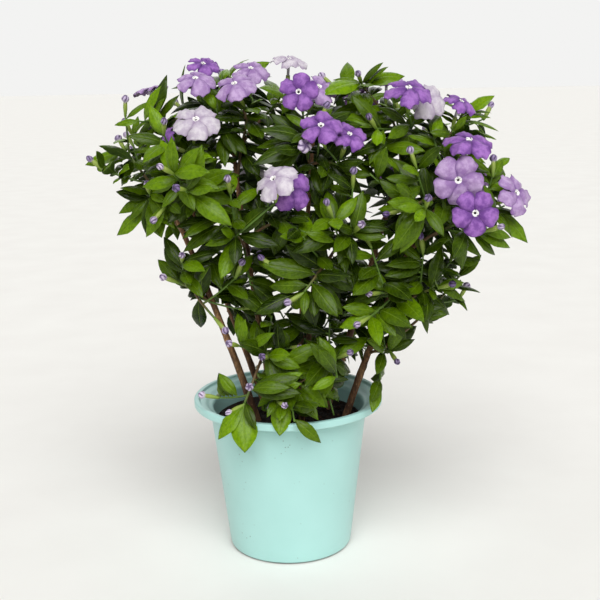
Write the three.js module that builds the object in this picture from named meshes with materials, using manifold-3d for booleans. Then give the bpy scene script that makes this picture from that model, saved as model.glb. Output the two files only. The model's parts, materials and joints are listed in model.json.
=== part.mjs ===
// A potted yesterday-today-and-tomorrow shrub: a rolled-rim plastic pot, its soil, seven woody stems,
// leafy sprays with their flower buds, and open blooms that fade from violet through lilac to white.
// Millimetres, +Z up. The origin is on the ground under the middle of the pot, and -Y is the front.
import * as THREE from "three";
import { mergeVertices } from "three/addons/utils/BufferGeometryUtils.js";
import Module from "manifold-3d";

const wasm = await Module();
wasm.setup();

// Driving dimensions of the pot and the soil
const POT_SIDES = 32;
const POT_HEIGHT = 149;
const RIM_RADIUS = 90;
const LIP_DEPTH = 7;
const BODY_TOP_RADIUS = 74.6;
const FOOT_RADIUS = 59;
const WALL = 2.4;
const FLOOR = 3;
const DRAIN = { count: 6, radius: 5, circle: 34, sides: 6 };
const SOIL_TOP = 127;
const SOIL_SIDES = 24;
const SEAT_GAP = 0.35;

// Woody stems: the four control points of each one's curve, and its radius at the root and the tip
const STEM_ROOT_Z = 104;
const STEM_STEPS = 6;
const STEMS = [
  { name: "left_front", points: [[-22, -14], [-44, -22, 180], [-68, -34, 255], [-104, -44, 352]],
    radius: [3.9, 2] },
  { name: "left_back", points: [[-16, 18], [-42, 34, 200], [-82, 44, 280], [-98, 38, 362]],
    radius: [3.4, 1.8] },
  { name: "middle_left", points: [[-9, -5], [-22, -14, 200], [-38, -16, 300], [-46, -8, 398]],
    radius: [3.4, 1.7] },
  { name: "middle_back", points: [[9, 20], [12, 30, 200], [20, 34, 300], [28, 36, 386]], radius: [3.2, 1.7] },
  { name: "middle_front", points: [[11, -20], [16, -32, 180], [26, -42, 260], [34, -44, 352]],
    radius: [3, 1.6] },
  { name: "right_front", points: [[46, -8], [72, -14, 180], [92, -38, 250], [126, -46, 330]],
    radius: [3.7, 2] },
  { name: "right_back", points: [[30, 12], [58, 22, 190], [88, 26, 290], [116, 16, 384]],
    radius: [3.6, 1.8] },
];

// Sprays: the stem each grows from, how far up it, and where its leading shoots end
const SPRAYS = [
  { stem: 0, from: 0.94, heads: [[-84, -52, 384], [-72, -76, 345]] },
  { stem: 0, from: 0.84, heads: [[-142, -14, 384], [-120, -36, 334]] },
  { stem: 0, from: 0.6, heads: [[-96, -42, 268], [-62, -66, 240]] },
  { stem: 2, from: 0.95, heads: [[-70, -10, 424], [-116, -2, 406]] },
  { stem: 2, from: 0.86, heads: [[-26, -28, 420], [6, -6, 428], [-46, 14, 446]] },
  { stem: 2, from: 0.6, heads: [[-40, -88, 316], [4, -74, 330]] },
  { stem: 2, from: 0.3, heads: [[-16, -76, 206], [-38, -78, 164]] },
  { stem: 1, from: 0.9, heads: [[-132, 42, 374], [-104, 68, 318]] },
  { stem: 1, from: 0.7, heads: [[-55, 70, 402], [-36, 95, 328]] },
  { stem: 1, from: 0.35, heads: [[-66, 62, 250]] },
  { stem: 3, from: 0.92, heads: [[8, 72, 394], [70, 66, 404]] },
  { stem: 3, from: 0.62, heads: [[42, 95, 322], [0, 82, 255]] },
  { stem: 3, from: 0.3, heads: [[4, 56, 190], [62, 52, 192]] },
  { stem: 4, from: 0.94, heads: [[20, -46, 402], [48, -64, 372]] },
  { stem: 4, from: 0.66, heads: [[60, -88, 318], [16, -90, 266]] },
  { stem: 4, from: 0.26, heads: [[46, -72, 204], [-4, -76, 171]] },
  { stem: 5, from: 0.94, heads: [[154, -46, 360], [102, -78, 334]] },
  { stem: 5, from: 0.84, heads: [[150, -58, 318], [186, -34, 330]] },
  { stem: 5, from: 0.56, heads: [[134, -60, 262], [82, -84, 264]] },
  { stem: 5, from: 0.4, heads: [[94, -50, 202], [160, -16, 264]] },
  { stem: 6, from: 0.93, heads: [[94, -6, 418], [114, -26, 402], [71, -15, 440]] },
  { stem: 6, from: 0.84, heads: [[156, -14, 388], [142, 50, 392], [165, 8, 412]] },
  { stem: 6, from: 0.62, heads: [[180, 50, 320], [114, 84, 328]] },
  { stem: 6, from: 0.38, heads: [[72, 76, 248], [130, 54, 250]] },
];

// Blooms: where the eye is, which way the face looks, its size and how far its lobes droop, as
// shares of BLOOM_RADIUS, how old it is, and the spray and shoot that carry it
const BLOOM_RADIUS = 21;
const BLOOMS = [
  { at: [-70, 0, 460], face: [0.15, -0.5, 0.85], size: 0.78, droop: 0.2, age: "violet", shoot: [3, 0] },
  { at: [-74, -36, 447], face: [0.05, -0.55, 0.83], size: 0.9, droop: 0.36, age: "lilac", shoot: [3, 0] },
  { at: [-27, -8, 455], face: [0.1, -0.5, 0.85], size: 0.87, droop: 0.3, age: "lilac", shoot: [4, 0] },
  { at: [-40, -44, 442], face: [-0.15, -0.55, 0.8], size: 0.95, droop: 0.36, age: "lilac", shoot: [4, 0] },
  { at: [7, 8, 463], face: [0.1, -0.25, 0.95], size: 0.86, droop: 0.24, age: "white", shoot: [4, 1] },
  { at: [-121, 12, 438], face: [-0.2, 0.1, 0.95], size: 0.86, droop: 0.16, age: "lilac", shoot: [3, 1] },
  { at: [-72, -66, 413], face: [0, -0.64, 0.76], size: 1.05, droop: 0.28, age: "white", shoot: [0, 0] },
  { at: [-104, -42, 393], face: [-0.85, -0.32, 0.4], size: 0.8, droop: 0.3, age: "violet", shoot: [0, 0] },
  { at: [15, -62, 434], face: [-0.05, -0.94, 0.3], size: 0.86, droop: 0.12, age: "violet", shoot: [13, 0] },
  { at: [33, -34, 438], face: [0.35, -0.6, 0.7], size: 0.92, droop: 0.24, age: "lilac", shoot: [13, 0] },
  { at: [33, -86, 407], face: [0, -0.68, 0.72], size: 0.93, droop: 0.2, age: "violet", shoot: [13, 1] },
  { at: [57, -78, 399], face: [0.25, -0.6, 0.75], size: 0.82, droop: 0.2, age: "violet", shoot: [13, 1] },
  { at: [-7, -110, 366], face: [-0.42, -0.58, 0.7], size: 0.97, droop: 0.34, age: "white", shoot: [5, 0] },
  { at: [7, -88, 355], face: [0.2, -0.9, 0.4], size: 0.97, droop: 0.18, age: "violet", shoot: [5, 1] },
  { at: [95, 2, 446], face: [0.05, -0.1, 0.99], size: 0.86, droop: 0.36, age: "lilac", shoot: [20, 0] },
  { at: [109, -52, 436], face: [0.05, -0.5, 0.86], size: 1.05, droop: 0.36, age: "violet", shoot: [20, 1] },
  { at: [126, -28, 427], face: [0.15, -0.76, 0.62], size: 1.02, droop: 0.32, age: "white", shoot: [20, 1] },
  { at: [161, -10, 423], face: [0.4, -0.36, 0.85], size: 0.82, droop: 0.3, age: "violet", shoot: [21, 0] },
  { at: [159, -66, 392], face: [0.05, -0.42, 0.9], size: 1.1, droop: 0.3, age: "violet", shoot: [16, 0] },
  { at: [148, -80, 359], face: [-0.05, -0.99, 0.1], size: 1.1, droop: 0.1, age: "lilac", shoot: [17, 0] },
  { at: [160, -97, 333], face: [0.05, -0.98, 0.15], size: 1, droop: 0.1, age: "violet", shoot: [17, 0] },
  { at: [203, -56, 345], face: [0.6, -0.65, 0.45], size: 1, droop: 0.22, age: "lilac", shoot: [17, 1] },
  { at: [-58, 92, 430], face: [-0.1, 0.7, 0.7], size: 1, droop: 0.24, age: "lilac", shoot: [8, 0] },
  { at: [-36, 128, 346], face: [0, 0.95, 0.3], size: 1.05, droop: 0.14, age: "white", shoot: [8, 1] },
  { at: [76, 92, 426], face: [0.1, 0.75, 0.65], size: 0.95, droop: 0.3, age: "violet", shoot: [10, 1] },
  { at: [190, 82, 344], face: [0.5, 0.8, 0.3], size: 1, droop: 0.18, age: "lilac", shoot: [22, 0] },
  { at: [116, 118, 348], face: [0.1, 0.9, 0.4], size: 0.96, droop: 0.2, age: "violet", shoot: [22, 1] },
];

// Single leaves that make the outline: two hang over the front of the rim, and the others reach
// furthest at the sides and the top. Each has its shoot, where its tip is and which way its face
// looks, and its width and droop as shares of its length.
const OUTER_LEAVES = [
  { shoot: [6, 1], tip: [-38, -98, 127], face: [0, -1, 0.6], width: 0.54, droop: 0.06 },
  { shoot: [15, 1], tip: [-6, -96, 141], face: [0, -1, 0.6], width: 0.48, droop: 0.06 },
  { shoot: [1, 0], tip: [-177, -20, 373], face: [-0.2, -0.8, 1], width: 0.45, droop: 0.14 },
  { shoot: [1, 1], tip: [-151, -32, 312], face: [-0.3, -0.8, 0.8], width: 0.45, droop: 0.16 },
  { shoot: [17, 1], tip: [216, -50, 302], face: [0.5, -0.8, 0.7], width: 0.45, droop: 0.14 },
  { shoot: [20, 2], tip: [36, -40, 436], face: [-0.3, -0.8, 0.8], width: 0.46, droop: 0.2 },
  { shoot: [20, 2], tip: [108, -16, 447], face: [0.2, -0.7, 0.8], width: 0.44, droop: 0.2 },
  { shoot: [4, 2], tip: [-12, 18, 462], face: [0.1, -0.7, 0.8], width: 0.42, droop: 0.14 },
  { shoot: [21, 2], tip: [191, 0, 428], face: [0.2, -0.7, 0.8], width: 0.42, droop: 0.1 },
];

// The crown's outline from the front: height, furthest left and furthest right of the leaf tips
const CROWN = [
  [130, -66, 88], [170, -77, 96], [205, -78, 118], [226, -80, 150], [242, -94, 174],
  [270, -114, 188], [300, -128, 222], [318, -155, 234], [348, -150, 232], [372, -176, 216],
  [388, -172, 204], [420, -144, 190], [438, -142, 152], [456, -108, 122], [474, -76, 100],
];
const CROWN_DEPTH = { most: 126, share: 0.47, extra: 20, margin: 14 };
const NOTCH = { x: 32, z: 436, slope: 0.7, half: 5 };

// Stretches of bare stem that show from the front: no leaf stands before them, seen from VIEWPOINT
const VIEWPOINT = { x: 14, y: -926, z: 441 };
const BARE_STEMS = [{ stem: 0, low: 0.22, high: 0.62, half: 7 }, { stem: 5, low: 0.2, high: 0.4, half: 6 }];

// Shoots, leaves and buds
const SEED = 20240;
const TRIES = 12;
const GOLDEN_ANGLE = THREE.MathUtils.degToRad(137.5);
const AXIS_RADIUS = [1.5, 1];
const AXIS_STEPS = 3;
const TWIG_RADIUS = [1, 0.7];
const TWIG_LENGTH = [30, 44];
const TWIG_TILT = [42, 66];
const TWIG_RISE = { root: 0.2, tip: 0.12 };
const STALK_RADIUS = 0.8;
const STALK_LEAD = 0.25;
const SECOND_STALK = 0.93;
const LEAF_LENGTH = [36, 52];
const LEAF_SLENDERNESS = [0.41, 0.49];
const LEAF_DROOP = [0.15, 0.42];
const LEAF_FOLD = [0.12, 0.34];
const LEAF_THICKNESS = 0.8;
const LARGE_LEAF = 60;
const LEAF_SPACING = 8.5;
const LEAF_ROOT = 0.3;
const FIRST_LEAF = 2;
const LOWEST_LEAF = 0.12;
const LEAF_AGE = { young: 0.74, step: 0.12 };
const LEAF_TURN = { step: 0.9, spread: [-0.3, 0.3] };
const LEAF_TILT = { first: 42, step: 12, most: 85, spread: [-12, 14] };
const LEAF_LEVEL = { share: 0.6, lift: 0.1 };
const SMALLER = 0.82;
const AXIS_LEAVES = 4;
const TWIG_LEAVES = 3;
const BUD_LENGTH = 19;
const BUD_RADIUS = 3;
const BUD_LEAN = [0.1, 0.6];
const BUD_RISE = 0.3;
const CALYX = { radius: 2, foot: 1.2, length: 9 };

const COLOURS = {
  pot: 0xa9ded2, soil: 0x2a1d14, bark: 0x6e4b33, leaf: 0x4c8414,
  violet: 0x8a4fc4, lilac: 0xb596d8, white: 0xe6dfec,
};

// Small helpers
const vec = (list) => new THREE.Vector3(...list);
const UP = vec([0, 0, 1]);
const mix = (...pairs) =>
  pairs.reduce((sum, [v, k]) => sum.addScaledVector(v, k), new THREE.Vector3());
let draw = SEED;
const random = () => (draw = (draw * 16807) % 2147483647) / 2147483647;
const between = ([low, high]) => low + (high - low) * random();

function bezier(points, t) {
  let left = points;
  while (left.length > 1) left = left.slice(1).map((p, i) => left[i].clone().lerp(p, t));
  return left[0];
}

// A path is a curve in a few straight steps, with a radius at each end. Its samples are spaced
// for the clearance tests.
const SAMPLE_STEP = 4;
function makePath(points, radius, steps = 2) {
  const nodes = Array.from({ length: steps + 1 }, (_, i) => bezier(points, i / steps));
  const at = (t) => {
    const i = Math.min(steps - 1, Math.floor(t * steps));
    return nodes[i].clone().lerp(nodes[i + 1], t * steps - i);
  };
  const radiusAt = (t) => radius[0] + (radius[1] - radius[0]) * t;
  const tangent = (t) => {
    const [low, high] = [Math.max(0, t - 0.01), Math.min(1, t + 0.01)];
    return bezier(points, high).sub(bezier(points, low)).normalize();
  };
  const length = nodes.slice(1).reduce((sum, p, i) => sum + p.distanceTo(nodes[i]), 0);
  const count = Math.ceil(length / SAMPLE_STEP);
  const samples = Array.from({ length: count + 1 }, (_, i) => {
    const t = i / count;
    return { at: at(t), radius: radiusAt(t) };
  });
  return { points, nodes, at, tangent, length, radius, radiusAt, samples };
}

// Directions round a path's tangent
function around(tangent, angle) {
  const reference = Math.abs(tangent.z) > 0.9 ? vec([1, 0, 0]) : UP;
  const across = reference.clone().cross(tangent).normalize();
  const other = tangent.clone().cross(across);
  return mix([across, Math.cos(angle)], [other, Math.sin(angle)]);
}

// Closed solids. Corners that lie this near to flat are merged after a join.
const FLAT = 0.01;
function closedGeometry(positions, index) {
  const geometry = new THREE.BufferGeometry();
  geometry.setAttribute("position", new THREE.Float32BufferAttribute(positions, 3));
  geometry.setIndex(index);
  return geometry;
}

function toSolid(geometry) {
  const bare = geometry.clone();
  bare.deleteAttribute("normal");
  bare.deleteAttribute("uv");
  const merged = mergeVertices(bare, 1e-4);
  return new wasm.Manifold(
    new wasm.Mesh({
      numProp: 3,
      vertProperties: new Float32Array(merged.attributes.position.array),
      triVerts: new Uint32Array(merged.index.array),
    }),
  );
}

function toGeometry(solid) {
  const mesh = solid.getMesh();
  const geometry = new THREE.BufferGeometry();
  geometry.setAttribute("position", new THREE.BufferAttribute(mesh.vertProperties, 3));
  geometry.setIndex(new THREE.BufferAttribute(mesh.triVerts, 1));
  geometry.computeVertexNormals();
  return geometry;
}

const fuse = (geometries) => wasm.Manifold.union(geometries.map(toSolid)).simplify(FLAT);

// A skin over rings of points, each ring turning right-handed round the way along. A ring of one
// point draws an end to that point, and any other end ring gets a flat cap.
function loft(rings) {
  const positions = rings.flat().flatMap((p) => p.toArray());
  const first = rings.map((_, i) => rings.slice(0, i).flat().length);
  const index = [];
  rings.slice(1).forEach((ring, i) => {
    const [a, b] = [first[i], first[i + 1]];
    const sides = Math.max(ring.length, rings[i].length);
    for (let k = 0; k < sides; k++) {
      const next = (k + 1) % sides;
      if (rings[i].length === 1) index.push(a, b + next, b + k);
      else if (ring.length === 1) index.push(a + k, a + next, b);
      else index.push(a + k, a + next, b + next, a + k, b + next, b + k);
    }
  });
  const last = first.at(-1);
  for (let k = 1; k < rings[0].length - 1; k++) index.push(0, k + 1, k);
  for (let k = 1; k < rings.at(-1).length - 1; k++) index.push(last, last + k, last + k + 1);
  return closedGeometry(positions, index);
}

// A tube through points. Its first normal is square to the plane of the curve, and the ring's
// corners lie between the normals, so the sides of a flat curve stay flat.
function tube(points, radii, sides) {
  const first = points[1].clone().sub(points[0]);
  let normal = points.at(-1).clone().sub(points[0]).cross(first);
  if (normal.length() < 0.01 * first.length() ** 2) normal = around(first.normalize(), 0);
  const rings = points.map((p, i) => {
    const along = points[Math.min(i + 1, points.length - 1)]
      .clone()
      .sub(points[Math.max(i - 1, 0)])
      .normalize();
    normal = normal.clone().addScaledVector(along, -normal.dot(along)).normalize();
    if (radii[i] === 0) return [p];
    const binormal = along.clone().cross(normal);
    return Array.from({ length: sides }, (_, k) => {
      const a = (2 * Math.PI * (k + 0.5)) / sides;
      return mix([p, 1], [normal, radii[i] * Math.cos(a)], [binormal, radii[i] * Math.sin(a)]);
    });
  });
  return loft(rings);
}

// A shoot's solid: drawn to a point at the root, then along its path to what its tip ends in. It
// is full round SHOULDER radii from the root.
const SHOULDER = 2.2;
function shootSolid(path) {
  const last = path.nodes.length - 1;
  const shoulder = Math.min(0.5 / last, (SHOULDER * path.radius[0]) / path.length);
  const rows = [[path.at(0), 0], [path.at(shoulder), path.radius[0]]];
  path.nodes.slice(1).forEach((node, i) => rows.push([node, path.radiusAt((i + 1) / last)]));
  rows.push(...(path.ending ?? []));
  return tube(rows.map(([p]) => p), rows.map(([, r]) => r), 4);
}

// What is already placed: spheres along every path, leaf blades, and the blooms' faces
const spheres = [];
const blades = [];
const faces = [];

function claim(path) {
  path.samples.forEach((s) => spheres.push({ at: s.at, radius: s.radius, path }));
}

// Room that the pot and the soil leave
const RIM_ZONE = { inner: 64, outer: 95, clear: 5 };
const HANG_LIMIT = 96;
function clearOfPot(p) {
  const out = Math.hypot(p.x, p.y);
  if (out < RIM_ZONE.inner) return p.z > SOIL_TOP + RIM_ZONE.clear;
  if (out < RIM_ZONE.outer) return p.z > POT_HEIGHT + RIM_ZONE.clear;
  return p.z > HANG_LIMIT;
}

function inCrown(p) {
  const above = CROWN.findIndex((row) => row[0] > p.z);
  if (above < 1) return above === 0;
  const [low, high] = [CROWN[above - 1], CROWN[above]];
  const t = (p.z - low[0]) / (high[0] - low[0]);
  const [left, right] = [1, 2].map((k) => low[k] + (high[k] - low[k]) * t);
  const across = (2 * p.x - left - right) / (right - left);
  if (Math.abs(across) > 1) return false;
  const notched = Math.abs(p.x - NOTCH.x) < NOTCH.half + NOTCH.slope * (p.z - NOTCH.z);
  if (p.z > NOTCH.z && notched) return false;
  const depth = Math.min(CROWN_DEPTH.most, CROWN_DEPTH.share * (right - left) + CROWN_DEPTH.extra);
  return Math.abs(p.y) < depth * Math.sqrt(1 - across * across) + CROWN_DEPTH.margin;
}

// A bloom keeps a round room: as deep behind its face as its lobes droop, and deeper before it
const FACE_ROOM = { back: 4, front: 26, margin: 2 };
function inFaceRoom(face, p, radius) {
  const q = p.clone().sub(face.at);
  const z = q.dot(face.look);
  const back = FACE_ROOM.back + face.droop * face.radius;
  if (z < -back - radius || z > FACE_ROOM.front + radius) return false;
  return Math.sqrt(Math.max(0, q.lengthSq() - z * z)) < face.radius + FACE_ROOM.margin + radius;
}

// Whether a point hides a stretch of bare stem
const BARE_STEPS = 16;
function hidesStem(p) {
  return bareStems.some(({ at, sight, half }) => {
    const q = p.clone().sub(at);
    const nearer = q.dot(sight);
    return nearer > 0 && q.addScaledVector(sight, -nearer).length() < half;
  });
}

const PATH_GAP = 2.8;
const ROOT_REACH = 13;
function pathIsClear(path, parents, ownFaces = []) {
  const root = path.samples[0].at;
  return path.samples.every((s) => {
    const nearRoot = s.at.distanceTo(root) < ROOT_REACH;
    if (!nearRoot && !clearOfPot(s.at)) return false;
    if (faces.some((f) => !ownFaces.includes(f) && inFaceRoom(f, s.at, s.radius))) return false;
    return spheres.every((o) => {
      if (parents.includes(o.path) && nearRoot) return true;
      return s.at.distanceTo(o.at) > s.radius + o.radius + PATH_GAP;
    });
  });
}

// A leaf's blade: x runs from its base to its tip, y across it, and the rib bends down along it
function makeLeaf(base, direction, facing, length, width, droop, fold, path) {
  const along = direction.clone().normalize();
  const normal = facing.clone().addScaledVector(along, -facing.dot(along)).normalize();
  const side = normal.clone().cross(along);
  const leaf = { base, along, normal, side, length, width, droop, fold, path };
  leaf.centre = mix([base, 1], [along, length / 2], [normal, (-droop * length) / 4]);
  leaf.samples = LEAF_SAMPLES.map(([s, t]) => ({ s, at: leafPoint(leaf, s, t) }));
  return leaf;
}

const LEAF_SAMPLES = [
  ...[0.14, 0.28, 0.42, 0.56, 0.7, 0.84, 0.94].flatMap((s) => [[s, -1], [s, 1]]),
  ...[0.3, 0.6, 0.85, 1].map((s) => [s, 0]),
];
const PETIOLE_SHARE = 0.08;
const PETIOLE_WIDTH = 0.07;

// Half the blade's width as a share of its full width: full sides, drawn out a little at the tip
function leafProfile(s) {
  const q = Math.min(1, Math.max(0, (s - PETIOLE_SHARE) / (1 - PETIOLE_SHARE)));
  return 0.5 * Math.max(PETIOLE_WIDTH * (1 - q), Math.sin(Math.PI * q) ** (0.78 + 0.2 * q));
}

const bladeHeight = (leaf, s, y) => -leaf.droop * leaf.length * s * s - leaf.fold * Math.abs(y);

function leafPoint(leaf, s, t) {
  const y = t * leaf.width * leafProfile(s);
  const z = bladeHeight(leaf, s, y);
  return mix([leaf.base, 1], [leaf.along, s * leaf.length], [leaf.side, y], [leaf.normal, z]);
}

function nearBlade(leaf, p, reach) {
  if (p.distanceTo(leaf.centre) > 0.6 * leaf.length + reach) return false;
  const q = p.clone().sub(leaf.base);
  const x = q.dot(leaf.along);
  if (x < 0.1 * leaf.length || x > leaf.length + reach) return false;
  const y = q.dot(leaf.side);
  const s = Math.min(1, x / leaf.length);
  if (Math.abs(y) > leaf.width * leafProfile(s) + reach) return false;
  return Math.abs(q.dot(leaf.normal) - bladeHeight(leaf, s, y)) < reach;
}

const BLADE_GAP = 2.3;
const SHOOT_GAP = 1.4;
const OWN_ROOT = 9;
const SHARED_SHARE = 0.3;
function leafIsClear(leaf) {
  if (!inCrown(leaf.samples.at(-1).at)) return false;
  if (!leaf.samples.every(({ at }) => clearOfPot(at))) return false;
  if (leaf.samples.some(({ at }) => hidesStem(at))) return false;
  if (leaf.samples.some(({ at }) => faces.some((f) => inFaceRoom(f, at, 0)))) return false;
  const blocked = spheres.some((o) => {
    if (o.at.distanceTo(leaf.centre) > leaf.length) return false;
    if (o.path === leaf.path && o.at.distanceTo(leaf.base) < OWN_ROOT) return false;
    return nearBlade(leaf, o.at, o.radius + SHOOT_GAP);
  });
  if (blocked) return false;
  return blades.every((other) => {
    if (other.centre.distanceTo(leaf.centre) > (leaf.length + other.length) * 0.6) return true;
    const least = other.path === leaf.path ? SHARED_SHARE : 0;
    const crosses = (samples, blade) =>
      samples.some(({ s, at }) => s > least && nearBlade(blade, at, BLADE_GAP));
    return !crosses(leaf.samples, other) && !crosses(other.samples, leaf);
  });
}

// A leaf starts a little off its shoot's centre line, so its root is sunk but stays narrow
const shareAt = (path, fromTip) => Math.max(LOWEST_LEAF, 1 - fromTip / path.length);
function leafRoot(path, fromTip, direction) {
  const t = shareAt(path, fromTip);
  return mix([path.at(t), 1], [direction, LEAF_ROOT * path.radiusAt(t)]);
}

// The leaf at a place on a path: the first of a few turns round the shoot that is clear, made
// smaller in the later tries. Leaves face up and away from the crown's middle, which lies towards
// the back.
const FACING = { width: 380, depth: 110, middle: 50, shoot: 0.4, up: 0.8 };
function growLeaf(path, fromTip, order, turn) {
  const tangent = path.tangent(shareAt(path, fromTip));
  const age = Math.min(1, LEAF_AGE.young + LEAF_AGE.step * order);
  const spread = Math.min(LEAF_TILT.most, LEAF_TILT.first + LEAF_TILT.step * order);
  for (let i = 0; i < TRIES; i++) {
    const angle = turn + order * GOLDEN_ANGLE + i * LEAF_TURN.step + between(LEAF_TURN.spread);
    const tilt = THREE.MathUtils.degToRad(spread + between(LEAF_TILT.spread));
    const length = between(LEAF_LENGTH) * age * (i > TRIES / 2 ? SMALLER : 1);
    const width = length * between(LEAF_SLENDERNESS);
    const droop = between(LEAF_DROOP);
    const fold = between(LEAF_FOLD);
    const out = around(tangent, angle);
    out.z = LEAF_LEVEL.share * out.z + LEAF_LEVEL.lift;
    const direction = mix([tangent, Math.cos(tilt)], [out, Math.sin(tilt)]).normalize();
    const base = leafRoot(path, fromTip, direction);
    const outward = vec([base.x / FACING.width, (base.y - FACING.middle) / FACING.depth, 0]);
    const facing = mix([tangent, FACING.shoot], [UP, FACING.up], [outward, 1]);
    const leaf = makeLeaf(base, direction, facing, length, width, droop, fold, path);
    if (leafIsClear(leaf)) {
      blades.push(leaf);
      return leaf;
    }
  }
  return null;
}

// An outer leaf is aimed above its tip's place by as much as it droops on the way
const OUTER_FOLD = 0.16;
function outerLeaf(path, { tip, face, width, droop }) {
  const end = vec(tip);
  const length = end.distanceTo(path.at(1));
  const aim = mix([end, 1], [vec(face).normalize(), droop * length]);
  const direction = aim.sub(path.at(1)).normalize();
  const root = leafRoot(path, 0, direction);
  const leaf = makeLeaf(root, direction, vec(face), length, width * length, droop, OUTER_FOLD, path);
  blades.push(leaf);
  return leaf;
}

// A leaf's solid: three-cornered sections, with a ridge along the rib and a flat underside
const STATIONS = { large: [0.25, 0.5, 0.77], small: [0.34, 0.7] };
const WIDEN = 1.06;
function leafSolid(leaf) {
  const stations = leaf.length > LARGE_LEAF ? STATIONS.large : STATIONS.small;
  const ring = (s) => {
    const y = leaf.width * leafProfile(s) * WIDEN;
    const edge = bladeHeight(leaf, s, y) - LEAF_THICKNESS / 2;
    const ridge = bladeHeight(leaf, s, 0) + LEAF_THICKNESS / 2;
    return [[y, edge], [0, ridge], [-y, edge]].map(([across, up]) =>
      mix([leaf.base, 1], [leaf.along, s * leaf.length], [leaf.side, across], [leaf.normal, up]),
    );
  };
  return loft([[leaf.base], ...stations.map(ring), [leafPoint(leaf, 1, 0)]]);
}

// A leading shoot from a root point to a head, bowed further until it is clear of the others
const FULL_TURN = [0, 6.28];
const AXIS_LEAD = 0.22;
const BOW_STEP = 1.3;
function growAxis(root, lead, head, parents, ownFaces) {
  const reach = head.distanceTo(root);
  let path = null;
  for (let i = 0; i < 2 * TRIES; i++) {
    const bow = around(head.clone().sub(root).normalize(), between(FULL_TURN));
    const control = mix([root, 0.5], [head, 0.5], [lead, AXIS_LEAD * reach], [bow, i * BOW_STEP]);
    path = makePath([root, control, head], AXIS_RADIUS, AXIS_STEPS);
    if (pathIsClear(path, parents, ownFaces)) break;
  }
  return path;
}

// A side twig at a place on an axis, turned until it is clear
function growTwig(axis, t) {
  const root = axis.at(t);
  const tangent = axis.tangent(t);
  const turn = between(FULL_TURN);
  for (let i = 0; i < TRIES; i++) {
    const tilt = THREE.MathUtils.degToRad(between(TWIG_TILT));
    const length = between(TWIG_LENGTH);
    const out = around(tangent, turn + i * GOLDEN_ANGLE);
    const aim = mix([tangent, Math.cos(tilt)], [out, Math.sin(tilt)], [UP, TWIG_RISE.root]);
    const direction = aim.normalize();
    const end = mix([root, 1], [direction, length], [UP, TWIG_RISE.tip * length]);
    const path = makePath([root, mix([root, 1], [direction, 0.5 * length]), end], TWIG_RADIUS);
    if (inCrown(end) && pathIsClear(path, [axis])) return path;
  }
  return null;
}

// A bud ends a shoot: a slim calyx, a thin neck and a round closed head
const BUD_RINGS = [[0.6, 0.36], [0.83, 1], [1, 0]];
function growBud(path) {
  const tip = path.at(1);
  const tangent = path.tangent(1);
  for (let i = 0; i < TRIES; i++) {
    const lean = between(BUD_LEAN);
    const aside = around(tangent, between(FULL_TURN));
    const direction = mix([tangent, 1], [aside, lean], [UP, BUD_RISE]).normalize();
    const end = mix([tip, 1], [direction, BUD_LENGTH]);
    const bud = makePath([tip, mix([tip, 0.5], [end, 0.5]), end], [1, BUD_RADIUS]);
    if (!pathIsClear(bud, [path])) continue;
    path.ending = BUD_RINGS.map(([t, share]) => [bud.at(t), share * BUD_RADIUS]);
    return bud;
  }
  return null;
}

// A bloom: a flat face of five round lobes on a thin tube, which ends above its calyx
const LOBES = 5;
const LOBE_SPAN = (2 * Math.PI) / LOBES;
const LOBE_RIM = [[-0.5, 0.44], [-0.32, 0.9], [0, 1.02], [0.32, 0.9]];
const LOBE_MIDDLE = 0.62;
const LOBE_LIFT = [-0.07, 0.09];
const PETAL_THICKNESS = 1.2;
const TUBE = { neck: 8, length: 9, radius: [1.7, 1.3] };

function placeBloom(bloom) {
  const [spray, head] = bloom.shoot;
  const at = vec(bloom.at);
  const look = vec(bloom.face).normalize();
  const neck = mix([at, 1], [look, -TUBE.neck]);
  const rise = neck.clone().sub(vec(SPRAYS[spray].heads[head])).normalize();
  const turn = look.clone().add(rise).normalize();
  const end = mix([neck, 1], [turn, -TUBE.length]);
  const lobes = Array.from({ length: LOBES }, () => between(LOBE_LIFT));
  const start = between([0, LOBE_SPAN]);
  const { size, droop, age } = bloom;
  const radius = size * BLOOM_RADIUS;
  const face = { spray, head, at, look, neck, turn, end, lobes, start, radius, droop, age };
  faces.push(face);
  claim(makePath([at, neck, end], TUBE.radius));
  return face;
}

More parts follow.
